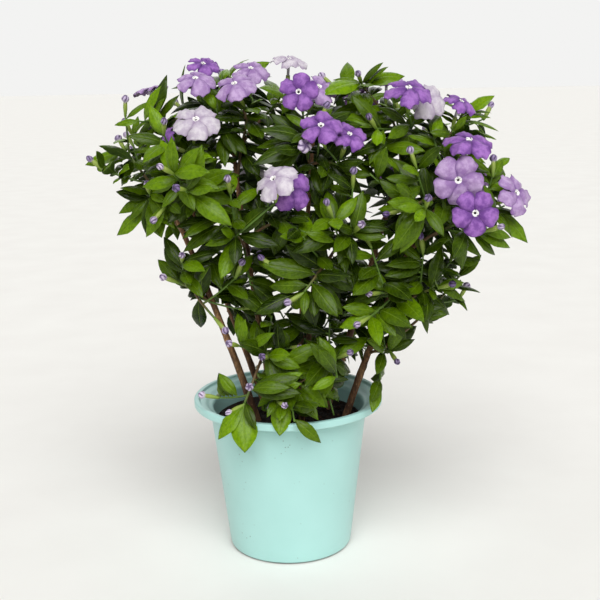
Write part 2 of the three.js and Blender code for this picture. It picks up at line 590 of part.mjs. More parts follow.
function bloomSolid(face) {
  const across = around(face.look, 0);
  const upward = face.look.clone().cross(across);
  const point = (angle, share, lift) => {
    const r = share * face.radius;
    const z = lift - face.droop * face.radius * share * share;
    const round = mix([across, r * Math.cos(angle)], [upward, r * Math.sin(angle)]);
    return mix([face.at, 1], [round, 1], [face.look, z]);
  };
  const half = PETAL_THICKNESS / 2;
  const throat = TUBE.radius[0] / face.radius;
  const points = [point(0, 0, half)];
  face.lobes.forEach((tip, k) => {
    const middle = face.start + k * LOBE_SPAN;
    const lift = (share) => tip * face.radius * share * share;
    LOBE_RIM.forEach(([turn, share], i) =>
      points.push(point(middle + turn * LOBE_SPAN, share, i === 0 ? 0 : lift(share))),
    );
    points.push(point(middle, LOBE_MIDDLE, lift(LOBE_MIDDLE) + half));
    points.push(point(middle, LOBE_MIDDLE, lift(LOBE_MIDDLE) - half));
    points.push(point(middle - LOBE_SPAN / 2, throat, -1.5 * half));
  });
  const perLobe = LOBE_RIM.length + 3;
  const rings = [face.neck, face.end].map((centre, i) => {
    const axis = i ? face.turn : face.look.clone().add(face.turn).normalize();
    const first = points.length;
    for (let k = 0; k < LOBES; k++) {
      const spoke = points[k * perLobe + perLobe].clone().sub(face.at);
      spoke.addScaledVector(axis, -spoke.dot(axis)).setLength(TUBE.radius[i]);
      points.push(spoke.add(centre));
    }
    return first;
  });
  const index = [];
  for (let k = 0; k < LOBES; k++) {
    const first = 1 + k * perLobe;
    const after = (k + 1) % LOBES;
    const rim = [...LOBE_RIM.map((_, i) => first + i), 1 + after * perLobe];
    const [top, bottom, here] = [0, 1, 2].map((i) => first + LOBE_RIM.length + i);
    const there = after * perLobe + perLobe;
    const upper = [0, ...rim, 0];
    const under = [here, ...rim, there, here];
    upper.slice(1).forEach((to, i) => index.push(top, upper[i], to));
    under.slice(1).forEach((to, i) => index.push(bottom, to, under[i]));
    const sides = [[here, there], ...rings.map((ring) => [ring + k, ring + after])];
    sides.slice(1).forEach(([c, d], i) => {
      const [a, b] = sides[i];
      index.push(a, c, d, a, d, b);
    });
    if (k > 0 && k < LOBES - 1) index.push(rings[1], rings[1] + after, rings[1] + k);
  }
  return toSolid(closedGeometry(points.flatMap((p) => p.toArray()), index));
}

// The stalk and green calyx under a bloom end its shoot just short of the tube. A shoot's second
// bloom has its stalk fused on lower down.
function growStalk(face, axis, isFirst) {
  const top = mix([face.end, 1], [face.turn, -SEAT_GAP]);
  const foot = mix([face.end, 1], [face.turn, -SEAT_GAP - CALYX.length]);
  const from = isFirst ? 1 : SECOND_STALK;
  const root = axis.at(from);
  const reach = foot.distanceTo(root);
  const control = mix([root, 0.6], [foot, 0.4], [axis.tangent(from), STALK_LEAD * reach]);
  const path = makePath([root, control, foot], [STALK_RADIUS, STALK_RADIUS]);
  const middle = mix([foot, 0.5], [top, 0.5]);
  const collar = makePath([foot, middle, top], [CALYX.radius, CALYX.radius]);
  const rows = [[path.at(0.5), STALK_RADIUS], [foot, CALYX.foot], [top, CALYX.radius]];
  if (isFirst) {
    axis.ending = rows;
    return { path, collar };
  }
  rows.unshift([path.at(0), 0], [path.at(0.12), STALK_RADIUS]);
  const solid = tube(rows.map(([p]) => p), rows.map(([, r]) => r), 4);
  return { path, collar, solid };
}

// Stems
function makeStem(stem) {
  const [root, ...rest] = stem.points;
  const path = makePath([[...root, STEM_ROOT_Z], ...rest].map(vec), stem.radius, STEM_STEPS);
  claim(path);
  return { ...stem, path };
}

function stemTube({ path }, extra) {
  const radii = path.nodes.map((_, i) => path.radiusAt(i / STEM_STEPS) + extra);
  const points = path.nodes.map((node) => node.clone());
  if (extra) points[0].addScaledVector(path.tangent(0), -extra);
  return tube(points, radii, 6);
}

// Grow the plant: blooms keep their places, then shoots, stalks, twigs, buds and leaves fill in
const stems = STEMS.map(makeStem);
const bareStems = BARE_STEMS.flatMap(({ stem, low, high, half }) =>
  Array.from({ length: BARE_STEPS + 1 }, (_, i) => {
    const at = stems[stem].path.at(low + ((high - low) * i) / BARE_STEPS);
    const sight = vec([VIEWPOINT.x, VIEWPOINT.y, VIEWPOINT.z]).sub(at).normalize();
    return { at, sight, half };
  }),
);
const blooms = BLOOMS.map(placeBloom);

// A spray's second and third shoots grow from these shares of its first
const BRANCHES = [0.42, 0.66];
const sprays = SPRAYS.map((spray, index) => {
  const stem = stems[spray.stem];
  const mine = blooms.filter((b) => b.spray === index);
  const paths = [];
  spray.heads.forEach((place, k) => {
    const head = vec(place);
    const onStem = k === 0;
    const parent = onStem ? stem.path : paths[0];
    const t = onStem ? spray.from : BRANCHES[k - 1];
    const middle = parent.at(t);
    const lead = parent.tangent(t);
    const away = head.clone().sub(middle);
    away.addScaledVector(lead, -away.dot(lead)).normalize();
    const thickness = stem.path.radiusAt(t);
    const root = onStem ? mix([middle, 1], [away, thickness + SEAT_GAP]) : middle;
    const ownFaces = mine.filter((b) => b.head === k);
    const parents = onStem ? [parent] : [stem.path, ...paths];
    const axis = growAxis(root, lead, head, parents, ownFaces);
    paths.push(axis);
    claim(axis);
  });
  return { axes: paths, mine, solids: [], twigs: [], buds: [], leaves: [] };
});

sprays.forEach((spray) => {
  const ended = new Set();
  spray.mine.forEach((bloom) => {
    const axis = spray.axes[bloom.head];
    const stalk = growStalk(bloom, axis, !ended.has(axis));
    ended.add(axis);
    claim(stalk.path);
    claim(stalk.collar);
    if (stalk.solid) spray.solids.push(stalk.solid);
  });
});

const TWIG_PLACE = [0.5, 0.72];
sprays.forEach((spray) =>
  spray.axes.forEach((axis) => {
    const twig = growTwig(axis, between(TWIG_PLACE));
    if (!twig) return;
    claim(twig);
    spray.twigs.push(twig);
  }),
);

sprays.forEach((spray) => {
  [...spray.twigs, ...spray.axes].filter((path) => !path.ending).forEach((path) => {
    const bud = growBud(path);
    if (!bud) return;
    claim(bud);
    spray.buds.push(bud);
  });
  [...spray.axes, ...spray.twigs].forEach((path) => spray.solids.push(shootSolid(path)));
});

OUTER_LEAVES.forEach((outer) => {
  const spray = sprays[outer.shoot[0]];
  const leaf = outerLeaf(spray.axes[outer.shoot[1]], outer);
  spray.leaves.push(leaf);
  spray.solids.push(leafSolid(leaf));
});

for (let order = 0; order < Math.max(AXIS_LEAVES, TWIG_LEAVES); order++) {
  sprays.forEach((spray, index) => {
    const shoots = [
      ...spray.axes.map((path) => [path, AXIS_LEAVES]),
      ...spray.twigs.map((path) => [path, TWIG_LEAVES]),
    ];
    shoots.forEach(([path, count], k) => {
      if (order >= count) return;
      const leaf = growLeaf(path, FIRST_LEAF + order * LEAF_SPACING, order, index + 2 * k);
      if (!leaf) return;
      spray.leaves.push(leaf);
      spray.solids.push(leafSolid(leaf));
    });
  });
}

// The pot: a tapered wall that flares into a rolled lip, on a flat floor with drain holes
function potGeometry() {
  const lip = POT_HEIGHT - LIP_DEPTH;
  const profile = [
    [0, 0], [FOOT_RADIUS - 2.2, 0], [FOOT_RADIUS + 0.4, 2.4], [BODY_TOP_RADIUS, lip - 2.5],
    [RIM_RADIUS - 5, lip + 1.5], [RIM_RADIUS - 1.5, lip], [RIM_RADIUS, lip + 2],
    [RIM_RADIUS, POT_HEIGHT - 2.2], [RIM_RADIUS - 3, POT_HEIGHT], [RIM_RADIUS - 7, POT_HEIGHT - 0.4],
    [BODY_TOP_RADIUS + 1.5, lip + 1.2], [BODY_TOP_RADIUS - WALL, lip - 4],
    [FOOT_RADIUS - WALL, FLOOR], [0, FLOOR],
  ];
  return lathe(profile, POT_SIDES);
}

function lathe(profile, sides) {
  const points = profile.map(([r, z]) => new THREE.Vector2(r, z));
  return new THREE.LatheGeometry(points, sides).rotateX(Math.PI / 2);
}

function potSolid() {
  const drains = Array.from({ length: DRAIN.count }, (_, k) => {
    const angle = (2 * Math.PI * k) / DRAIN.count;
    const hole = new THREE.CylinderGeometry(DRAIN.radius, DRAIN.radius, 3 * FLOOR, DRAIN.sides);
    hole.rotateX(Math.PI / 2);
    hole.translate(DRAIN.circle * Math.cos(angle), DRAIN.circle * Math.sin(angle), FLOOR / 2);
    return hole;
  });
  return toSolid(potGeometry()).subtract(fuse(drains));
}

// The soil fills the pot to below the lip, a little heaped, with a plain hole for each stem
function soilSolid() {
  const wallAt = (z) => {
    const t = (z - FLOOR) / (POT_HEIGHT - LIP_DEPTH - 4 - FLOOR);
    return FOOT_RADIUS + (BODY_TOP_RADIUS - FOOT_RADIUS) * t - WALL - 0.9;
  };
  const low = FLOOR + SEAT_GAP;
  const geometry = lathe([
    [0, low], [FOOT_RADIUS - WALL - 1, low], [wallAt(SOIL_TOP - 2), SOIL_TOP - 2],
    [wallAt(SOIL_TOP) - 4, SOIL_TOP], [36, SOIL_TOP + 1], [0, SOIL_TOP + 2],
  ], SOIL_SIDES);
  const place = geometry.attributes.position;
  for (let i = 0; i < place.count; i++) {
    const [x, y, z] = [place.getX(i), place.getY(i), place.getZ(i)];
    const heap = z > SOIL_TOP - 1 ? Math.sin(x / 9) * Math.cos(y / 7 + x / 31) * 1.4 : 0;
    place.setZ(i, z + heap);
  }
  const holes = stems.map((stem) => stemTube(stem, SEAT_GAP));
  return toSolid(geometry).subtract(fuse(holes));
}

// Materials and the scene graph
const FINISH = { pot: 0.35, soil: 0.95, bark: 0.85, leaf: 0.45, violet: 0.6, lilac: 0.6, white: 0.6 };
const plant = new THREE.Group();
function add(name, solid, colour) {
  const material = new THREE.MeshStandardMaterial({
    color: COLOURS[colour],
    roughness: FINISH[colour],
    metalness: 0,
  });
  const mesh = new THREE.Mesh(toGeometry(solid), material);
  mesh.name = name;
  plant.add(mesh);
}

const number = (k) => String(k + 1).padStart(2, "0");
add("pot", potSolid(), "pot");
add("soil", soilSolid(), "soil");
stems.forEach((stem) => add("stem_" + stem.name, toSolid(stemTube(stem, 0)), "bark"));
sprays.forEach((spray, k) => add("spray_" + number(k), fuse(spray.solids), "leaf"));
blooms.forEach((bloom, k) => add("bloom_" + number(k), bloomSolid(bloom), bloom.age));

export default plant;
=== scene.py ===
# A potted yesterday-today-and-tomorrow shrub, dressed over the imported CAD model. The plant is grown
# again here by the CAD source's own rule, so every leaf, shoot, bud and bloom lies where its solid
# does. More twigs and leaves then fill the crown, and each piece is made as a fine surface.
import json
import math

import bpy
import numpy as np
from mathutils import Matrix

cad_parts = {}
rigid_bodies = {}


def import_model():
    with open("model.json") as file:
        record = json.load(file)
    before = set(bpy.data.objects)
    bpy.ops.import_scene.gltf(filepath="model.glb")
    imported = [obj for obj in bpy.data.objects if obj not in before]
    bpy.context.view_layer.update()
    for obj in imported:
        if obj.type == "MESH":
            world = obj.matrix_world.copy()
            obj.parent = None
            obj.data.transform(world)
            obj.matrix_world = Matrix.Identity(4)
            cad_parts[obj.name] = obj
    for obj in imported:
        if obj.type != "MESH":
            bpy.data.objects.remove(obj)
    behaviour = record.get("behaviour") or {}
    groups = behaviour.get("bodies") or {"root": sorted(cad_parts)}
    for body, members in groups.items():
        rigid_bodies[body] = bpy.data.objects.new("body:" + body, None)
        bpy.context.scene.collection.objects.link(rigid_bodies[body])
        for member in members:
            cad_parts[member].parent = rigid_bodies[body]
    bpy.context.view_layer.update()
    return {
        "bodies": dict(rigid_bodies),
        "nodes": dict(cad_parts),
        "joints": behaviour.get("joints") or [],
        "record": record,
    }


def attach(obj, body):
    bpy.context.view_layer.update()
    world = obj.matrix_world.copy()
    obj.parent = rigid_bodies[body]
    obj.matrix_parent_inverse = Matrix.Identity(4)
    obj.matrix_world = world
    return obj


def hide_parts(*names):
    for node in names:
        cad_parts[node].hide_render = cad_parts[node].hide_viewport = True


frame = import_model()

# Sizes are in millimetres, as in the CAD source, and a mesh is scaled to metres when it is made.
MM = 0.001
UP = np.array([0.0, 0.0, 1.0])

# The pot and the soil
POT_HEIGHT = 149
RIM_RADIUS = 90
LIP_DEPTH = 7
BODY_TOP_RADIUS = 74.6
FOOT_RADIUS = 59
WALL = 2.4
POT_FLOOR = 3
DRAIN = {"count": 6, "radius": 5, "circle": 34, "sides": 24}
SOIL_TOP = 127
SEAT_GAP = 0.35

# Woody stems: the four control points of each one's curve, and its radius at the root and the tip
STEM_ROOT_Z = 104
STEM_STEPS = 6
STEMS = {
    "left_front": ([(-22, -14), (-44, -22, 180), (-68, -34, 255), (-104, -44, 352)], (3.9, 2)),
    "left_back": ([(-16, 18), (-42, 34, 200), (-82, 44, 280), (-98, 38, 362)], (3.4, 1.8)),
    "middle_left": ([(-9, -5), (-22, -14, 200), (-38, -16, 300), (-46, -8, 398)], (3.4, 1.7)),
    "middle_back": ([(9, 20), (12, 30, 200), (20, 34, 300), (28, 36, 386)], (3.2, 1.7)),
    "middle_front": ([(11, -20), (16, -32, 180), (26, -42, 260), (34, -44, 352)], (3, 1.6)),
    "right_front": ([(46, -8), (72, -14, 180), (92, -38, 250), (126, -46, 330)], (3.7, 2)),
    "right_back": ([(30, 12), (58, 22, 190), (88, 26, 290), (116, 16, 384)], (3.6, 1.8)),
}

# Sprays: the stem each grows from, how far up it, and where its leading shoots end
SPRAYS = [
    (0, 0.94, [(-84, -52, 384), (-72, -76, 345)]),
    (0, 0.84, [(-142, -14, 384), (-120, -36, 334)]),
    (0, 0.6, [(-96, -42, 268), (-62, -66, 240)]),
    (2, 0.95, [(-70, -10, 424), (-116, -2, 406)]),
    (2, 0.86, [(-26, -28, 420), (6, -6, 428), (-46, 14, 446)]),
    (2, 0.6, [(-40, -88, 316), (4, -74, 330)]),
    (2, 0.3, [(-16, -76, 206), (-38, -78, 164)]),
    (1, 0.9, [(-132, 42, 374), (-104, 68, 318)]),
    (1, 0.7, [(-55, 70, 402), (-36, 95, 328)]),
    (1, 0.35, [(-66, 62, 250)]),
    (3, 0.92, [(8, 72, 394), (70, 66, 404)]),
    (3, 0.62, [(42, 95, 322), (0, 82, 255)]),
    (3, 0.3, [(4, 56, 190), (62, 52, 192)]),
    (4, 0.94, [(20, -46, 402), (48, -64, 372)]),
    (4, 0.66, [(60, -88, 318), (16, -90, 266)]),
    (4, 0.26, [(46, -72, 204), (-4, -76, 171)]),
    (5, 0.94, [(154, -46, 360), (102, -78, 334)]),
    (5, 0.84, [(150, -58, 318), (186, -34, 330)]),
    (5, 0.56, [(134, -60, 262), (82, -84, 264)]),
    (5, 0.4, [(94, -50, 202), (160, -16, 264)]),
    (6, 0.93, [(94, -6, 418), (114, -26, 402), (71, -15, 440)]),
    (6, 0.84, [(156, -14, 388), (142, 50, 392), (165, 8, 412)]),
    (6, 0.62, [(180, 50, 320), (114, 84, 328)]),
    (6, 0.38, [(72, 76, 248), (130, 54, 250)]),
]

# Blooms: where the eye is, which way the face looks, its size and droop, its age, its spray and shoot
BLOOM_RADIUS = 21
BLOOMS = [
    ((-70, 0, 460), (0.15, -0.5, 0.85), 0.78, 0.2, "violet", (3, 0)),
    ((-74, -36, 447), (0.05, -0.55, 0.83), 0.9, 0.36, "lilac", (3, 0)),
    ((-27, -8, 455), (0.1, -0.5, 0.85), 0.87, 0.3, "lilac", (4, 0)),
    ((-40, -44, 442), (-0.15, -0.55, 0.8), 0.95, 0.36, "lilac", (4, 0)),
    ((7, 8, 463), (0.1, -0.25, 0.95), 0.86, 0.24, "white", (4, 1)),
    ((-121, 12, 438), (-0.2, 0.1, 0.95), 0.86, 0.16, "lilac", (3, 1)),
    ((-72, -66, 413), (0, -0.64, 0.76), 1.05, 0.28, "white", (0, 0)),
    ((-104, -42, 393), (-0.85, -0.32, 0.4), 0.8, 0.3, "violet", (0, 0)),
    ((15, -62, 434), (-0.05, -0.94, 0.3), 0.86, 0.12, "violet", (13, 0)),
    ((33, -34, 438), (0.35, -0.6, 0.7), 0.92, 0.24, "lilac", (13, 0)),
    ((33, -86, 407), (0, -0.68, 0.72), 0.93, 0.2, "violet", (13, 1)),
    ((57, -78, 399), (0.25, -0.6, 0.75), 0.82, 0.2, "violet", (13, 1)),
    ((-7, -110, 366), (-0.42, -0.58, 0.7), 0.97, 0.34, "white", (5, 0)),
    ((7, -88, 355), (0.2, -0.9, 0.4), 0.97, 0.18, "violet", (5, 1)),
    ((95, 2, 446), (0.05, -0.1, 0.99), 0.86, 0.36, "lilac", (20, 0)),
    ((109, -52, 436), (0.05, -0.5, 0.86), 1.05, 0.36, "violet", (20, 1)),
    ((126, -28, 427), (0.15, -0.76, 0.62), 1.02, 0.32, "white", (20, 1)),
    ((161, -10, 423), (0.4, -0.36, 0.85), 0.82, 0.3, "violet", (21, 0)),
    ((159, -66, 392), (0.05, -0.42, 0.9), 1.1, 0.3, "violet", (16, 0)),
    ((148, -80, 359), (-0.05, -0.99, 0.1), 1.1, 0.1, "lilac", (17, 0)),
    ((160, -97, 333), (0.05, -0.98, 0.15), 1, 0.1, "violet", (17, 0)),
    ((203, -56, 345), (0.6, -0.65, 0.45), 1, 0.22, "lilac", (17, 1)),
    ((-58, 92, 430), (-0.1, 0.7, 0.7), 1, 0.24, "lilac", (8, 0)),
    ((-36, 128, 346), (0, 0.95, 0.3), 1.05, 0.14, "white", (8, 1)),
    ((76, 92, 426), (0.1, 0.75, 0.65), 0.95, 0.3, "violet", (10, 1)),
    ((190, 82, 344), (0.5, 0.8, 0.3), 1, 0.18, "lilac", (22, 0)),
    ((116, 118, 348), (0.1, 0.9, 0.4), 0.96, 0.2, "violet", (22, 1)),
]

# Single leaves that make the outline: their shoot, the leaf's tip, where it faces, width and droop.
# They are this much lighter than the others: painted light over the shade they stand in.
OUTLINE_PAINTED_LIGHT = 0.3
OUTER_LEAVES = [
    ((6, 1), (-38, -98, 127), (0, -1, 0.6), 0.54, 0.06),
    ((15, 1), (-6, -96, 141), (0, -1, 0.6), 0.48, 0.06),
    ((1, 0), (-177, -20, 373), (-0.2, -0.8, 1), 0.45, 0.14),
    ((1, 1), (-151, -32, 312), (-0.3, -0.8, 0.8), 0.45, 0.16),
    ((17, 1), (216, -50, 302), (0.5, -0.8, 0.7), 0.45, 0.14),
    ((20, 2), (36, -40, 436), (-0.3, -0.8, 0.8), 0.46, 0.2),
    ((20, 2), (108, -16, 447), (0.2, -0.7, 0.8), 0.44, 0.2),
    ((4, 2), (-12, 18, 462), (0.1, -0.7, 0.8), 0.42, 0.14),
    ((21, 2), (191, 0, 428), (0.2, -0.7, 0.8), 0.42, 0.1),
]

# The crown's outline from the front: height, furthest left and furthest right of the leaf tips
CROWN = np.array([
    (130, -66, 88), (170, -77, 96), (205, -78, 118), (226, -80, 150), (242, -94, 174),
    (270, -114, 188), (300, -128, 222), (318, -155, 234), (348, -150, 232), (372, -176, 216),
    (388, -172, 204), (420, -144, 190), (438, -142, 152), (456, -108, 122), (474, -76, 100),
], float)
CROWN_DEPTH = 126
DEPTH_SHARE = 0.47
DEPTH_MARGIN = 20
LEAF_MARGIN = 14
NOTCH = {"x": 32, "z": 436, "slope": 0.7, "half": 5}

# Stretches of bare stem that show from the front: the stem, from and to which share of it, and the
# half width kept clear of leaves before it, seen from VIEWPOINT
VIEWPOINT = (14, -926, 441)
BARE_STEMS = [(0, 0.22, 0.62, 7), (5, 0.2, 0.4, 6)]
BARE_STEPS = 16

# Shoots, leaves and buds: a pair is the range of a draw, or the radii at the root and the tip
TRIES = 12
GOLDEN_ANGLE = math.radians(137.5)
AXIS_RADIUS = (1.5, 1)
AXIS_STEPS = 3
TWIG_RADIUS = (1, 0.7)
TWIG_LENGTH = (30, 44)
TWIG_PLACE = (0.5, 0.72)
TWIG_TILT = (42, 66)
TWIG_RISE = {"start": 0.2, "end": 0.12}
STALK_RADIUS = 0.8
STALK_PLACES = [1, 0.93]
STALK_LEAD = 0.25
LEAF_LENGTH = (36, 52)
LEAF_SLENDERNESS = (0.41, 0.49)
LEAF_DROOP = (0.15, 0.42)
LEAF_FOLD = (0.12, 0.34)
FIRST_LEAF = 2
LEAF_SPACING = 8.5
LEAF_ROOT = 0.3
LOWEST_LEAF = 0.12
LEAF_TILT = {"first": 42, "step": 12, "most": 85, "jitter": (-12, 14)}
LEAF_RISE = {"share": 0.6, "more": 0.1}
LEAF_TURN = 0.9
TURN_JITTER = (-0.3, 0.3)
LATE_LENGTH = 0.82
YOUNG_SHARE = 0.74
GROWTH_STEP = 0.12
AXIS_LEAVES = 4
TWIG_LEAVES = 3
BRANCHES = [0.42, 0.66]
FULL_TURN = (0, 6.28)
AXIS_LEAD = 0.22
BOW_STEP = 1.3
FACING = {"width": 380, "depth": 110, "middle": 50, "shoot": 0.4, "up": 0.8}
OUTER_FOLD = 0.16
BUD_LENGTH = 19
BUD_RADIUS = 3
BUD_LEAN = (0.1, 0.6)
BUD_RISE = 0.3
CALYX = {"radius": 2, "length": 9}
LOBES = 5
LOBE_SPAN = 2 * math.pi / LOBES
LOBE_LIFT = (-0.07, 0.09)
TUBE = {"neck": 8, "length": 9, "radius": (1.7, 1.3)}


class Draws:
    """Park and Miller's random numbers, as the CAD source draws them, so both grow one plant."""

    def __init__(self, seed):
        self.state = seed

    def between(self, low, high):
        self.state = self.state * 16807 % 2147483647
        return low + (high - low) * (self.state / 2147483647)


draws = Draws(20240)


def unit(v):
    """A vector, or each row of many, brought to a length of 1."""
    return v / np.linalg.norm(v, axis=-1, keepdims=True)


def bezier(points, t):
    """The point at share t of a curve, by drawing its control points together pair by pair."""
    while len(points) > 1:
        points = points[:-1] + (points[1:] - points[:-1]) * t
    return points[0]


def around(tangent, angle):
    """The direction square to a tangent, at an angle round it."""
    reference = np.array([1.0, 0.0, 0.0]) if abs(tangent[2]) > 0.9 else UP
    across = unit(np.cross(reference, tangent))
    return across * math.cos(angle) + np.cross(tangent, across) * math.sin(angle)


class Path:
    """A shoot's line: a curve taken in a few straight steps, with a radius at each end. It may keep
    the shoot that it grows from and how far up that is, the bloom at its tip, and its size."""

    SPACING = 4

    def __init__(self, points, radius, steps=2):
        self.points = np.array(points, float)
        self.radius = radius
        self.steps = steps
        self.nodes = np.array([bezier(self.points, i / steps) for i in range(steps + 1)])
        self.length = np.linalg.norm(np.diff(self.nodes, axis=0), axis=1).sum()
        shares = np.arange(math.ceil(self.length / self.SPACING) + 1)
        shares = shares / shares[-1]
        self.samples = np.array([self.at(t) for t in shares])
        self.sample_radius = self.radius_at(shares)
        self.grows_from = None
        self.bloom = None
        self.size = 1.0

    def at(self, t):
        """The point at share t of the straight steps."""
        i = min(self.steps - 1, int(t * self.steps))
        return self.nodes[i] + (self.nodes[i + 1] - self.nodes[i]) * (t * self.steps - i)

    def curve(self, t):
        """The point at share t of the true curve."""
        return bezier(self.points, t)

    def radius_at(self, t):
        return self.radius[0] + (self.radius[1] - self.radius[0]) * t

    def tangent(self, t):
        return unit(self.curve(min(1, t + 0.01)) - self.curve(max(0, t - 0.01)))


class Room:
    """What is already placed: a row of balls along every path, the leaf blades and the blooms."""

    def __init__(self):
        self.balls = np.zeros((0, 4))
        self.owners = np.zeros(0, int)
        self.paths = []
        self.blades = []
        self.stacked = None
        self.faces = []
        self.bare = np.zeros((0, 7))

    def claim(self, path):
        """Adds the balls along a path."""
        rows = np.column_stack([path.samples, path.sample_radius])
        self.balls = np.vstack([self.balls, rows])
        self.owners = np.append(self.owners, np.full(len(rows), len(self.paths)))
        self.paths.append(path)

    def owned_by(self, paths):
        """Which balls belong to any of these paths."""
        numbers = [i for i, path in enumerate(self.paths) if any(path is p for p in paths)]
        return np.isin(self.owners, numbers)

    def add_blade(self, leaf):
        """Adds a leaf, and its values to the rows of those that are tested together."""
        self.blades.append(leaf)
        rows = {k: np.array([v])[:, None] for k, v in leaf.items() if k in BLADE_FIELDS}
        old = self.stacked
        self.stacked = rows if old is None else {k: np.vstack([old[k], rows[k]]) for k in rows}


room = Room()

# Room that the pot and the soil leave, and that each bloom keeps behind and before its face
RIM_ZONE = {"inner": 64, "outer": 95, "clear": 5}
HANG_LIMIT = 96
FACE_ROOM = {"back": 4, "front": 26, "margin": 2}
PATH_GAP = 2.8
ROOT_REACH = 13


def clear_of_pot(p):
    """Whether each point is above the soil, over the rim, or outside and above the hang limit."""
    out = np.hypot(p[..., 0], p[..., 1])
    over_rim = np.where(out < RIM_ZONE["outer"], POT_HEIGHT + RIM_ZONE["clear"], HANG_LIMIT)
    low = np.where(out < RIM_ZONE["inner"], SOIL_TOP + RIM_ZONE["clear"], over_rim)
    return p[..., 2] > low


def in_crown(p):
    """Whether a point is inside the crown's outline, and its depth from front to back."""
    if p[2] >= CROWN[-1, 0]:
        return False
    if p[2] < CROWN[0, 0]:
        return True
    left, right = (np.interp(p[2], CROWN[:, 0], CROWN[:, k]) for k in (1, 2))
    across = (2 * p[0] - left - right) / (right - left)
    if abs(across) > 1:
        return False
    half = NOTCH["half"] + NOTCH["slope"] * (p[2] - NOTCH["z"])
    if p[2] > NOTCH["z"] and abs(p[0] - NOTCH["x"]) < half:
        return False
    depth = min(CROWN_DEPTH, DEPTH_SHARE * (right - left) + DEPTH_MARGIN)
    return abs(p[1]) < depth * math.sqrt(1 - across * across) + LEAF_MARGIN


def in_face_room(p, radius, faces):
    """Whether any ball at points p is in the flat round room of any of these blooms' faces."""
    if not faces:
        return False
    q = p[:, None] - np.array([f["at"] for f in faces])
    z = (q * np.array([f["look"] for f in faces])).sum(-1)
    r = np.broadcast_to(radius, len(p))[:, None]
    out = np.sqrt(np.maximum(0, (q * q).sum(-1) - z * z))
    reach, droop = (np.array([f[k] for f in faces]) for k in ("radius", "droop"))
    level = (z >= -FACE_ROOM["back"] - droop * reach - r) & (z <= FACE_ROOM["front"] + r)
    return bool((level & (out < reach + FACE_ROOM["margin"] + r)).any())


def hides_stem(p):
    """Whether any point stands before a stretch of bare stem, seen from the viewpoint."""
    at, sight, half = room.bare[:, :3], room.bare[:, 3:6], room.bare[:, 6]
    q = p[:, None] - at
    nearer = (q * sight).sum(-1)
    aside = np.linalg.norm(q - nearer[..., None] * sight, axis=-1)
    return bool(((nearer > 0) & (aside < half)).any())


def path_is_clear(path, parents, own_faces=()):
    """Whether a new shoot is clear of the pot, the blooms and the other shoots."""
    near_root = np.linalg.norm(path.samples - path.samples[0], axis=1) < ROOT_REACH
    if (~near_root & ~clear_of_pot(path.samples)).any():
        return False
    others = [f for f in room.faces if not any(f is own for own in own_faces)]
    if in_face_room(path.samples, path.sample_radius, others):
        return False
    gap = np.linalg.norm(path.samples[:, None] - room.balls[:, :3], axis=-1)
    least = path.sample_radius[:, None] + room.balls[:, 3] + PATH_GAP
    allowed = near_root[:, None] & room.owned_by(parents)
    return bool(((gap > least) | allowed).all())


# A leaf's blade: x runs from its base to its tip, y across it, and the rib bends down along it
BLADE_FIELDS = (
    "base", "along", "normal", "side", "centre", "length", "width", "droop", "fold", "samples",
)
SAMPLE_SHARES = [(s, t) for s in (0.14, 0.28, 0.42, 0.56, 0.7, 0.84, 0.94) for t in (-1, 1)]
SAMPLE_SHARES = np.array(SAMPLE_SHARES + [(s, 0) for s in (0.3, 0.6, 0.85, 1)])
PETIOLE_SHARE = 0.08
PETIOLE_WIDTH = 0.07
BLADE_REACH = 0.6
BLADE_FROM = 0.1


def leaf_profile(s):
    """Half the width as a share of all of it: a sine with full sides, drawn out at the tip."""
    q = np.clip((s - PETIOLE_SHARE) / (1 - PETIOLE_SHARE), 0, 1)
    blade = np.maximum(np.sin(math.pi * q), 0) ** (0.78 + 0.2 * q)
    return 0.5 * np.maximum(PETIOLE_WIDTH * (1 - q), blade)


def blade_height(leaf, s, y):
    """The rib bends down with the square of s, and the halves fold down from it."""
    return -leaf["droop"] * leaf["length"] * s * s - leaf["fold"] * np.abs(y)


def leaf_root(path, t, direction):
    """A leaf starts a little off its shoot's centre line."""
    return path.at(t) + direction * (LEAF_ROOT * path.radius_at(t))


def make_leaf(path, t, order, direction, facing, length, width, droop, fold, fresh=0):
    """A leaf's values, with points on it that are tested for room."""
    base = leaf_root(path, t, direction)
    along = unit(direction)
    normal = unit(facing - along * facing.dot(along))
    leaf = {
        "base": base, "along": along, "normal": normal, "side": np.cross(normal, along),
        "length": length, "width": width, "droop": droop, "fold": fold,
        "path": path, "t": t, "order": order, "fresh": fresh,
    }
    leaf["centre"] = base + along * (length / 2) + normal * (-droop * length / 4)
    s, t = SAMPLE_SHARES.T
    y = t * width * leaf_profile(s)
    z = blade_height(leaf, s, y)
    frame = np.array([leaf["along"], leaf["side"], leaf["normal"]])
    leaf["samples"] = base + np.column_stack([s * length, y, z]) @ frame
    return leaf


def near_blade(leaf, p, reach):
    """Whether each point is within reach of a blade. The blade's own values may be rows too."""
    q = p - leaf["base"]
    x, y, z = ((q * leaf[k]).sum(-1) for k in ("along", "side", "normal"))
    length, width = leaf["length"], leaf["width"]
    s = np.minimum(1, x / length)
    inside = np.linalg.norm(p - leaf["centre"], axis=-1) <= BLADE_REACH * length + reach
    inside &= (x >= BLADE_FROM * length) & (x <= length + reach)
    inside &= np.abs(y) <= width * leaf_profile(s) + reach
    return inside & (np.abs(z - blade_height(leaf, s, y)) < reach)


# The least gaps between blades and from a blade to a shoot. A leaf may touch its own shoot near
# its root, and for the first share of its length another leaf of that shoot.
BLADE_GAP = 2.3
SHOOT_GAP = 1.4
OWN_ROOT = 9
SHARED_SHARE = 0.3


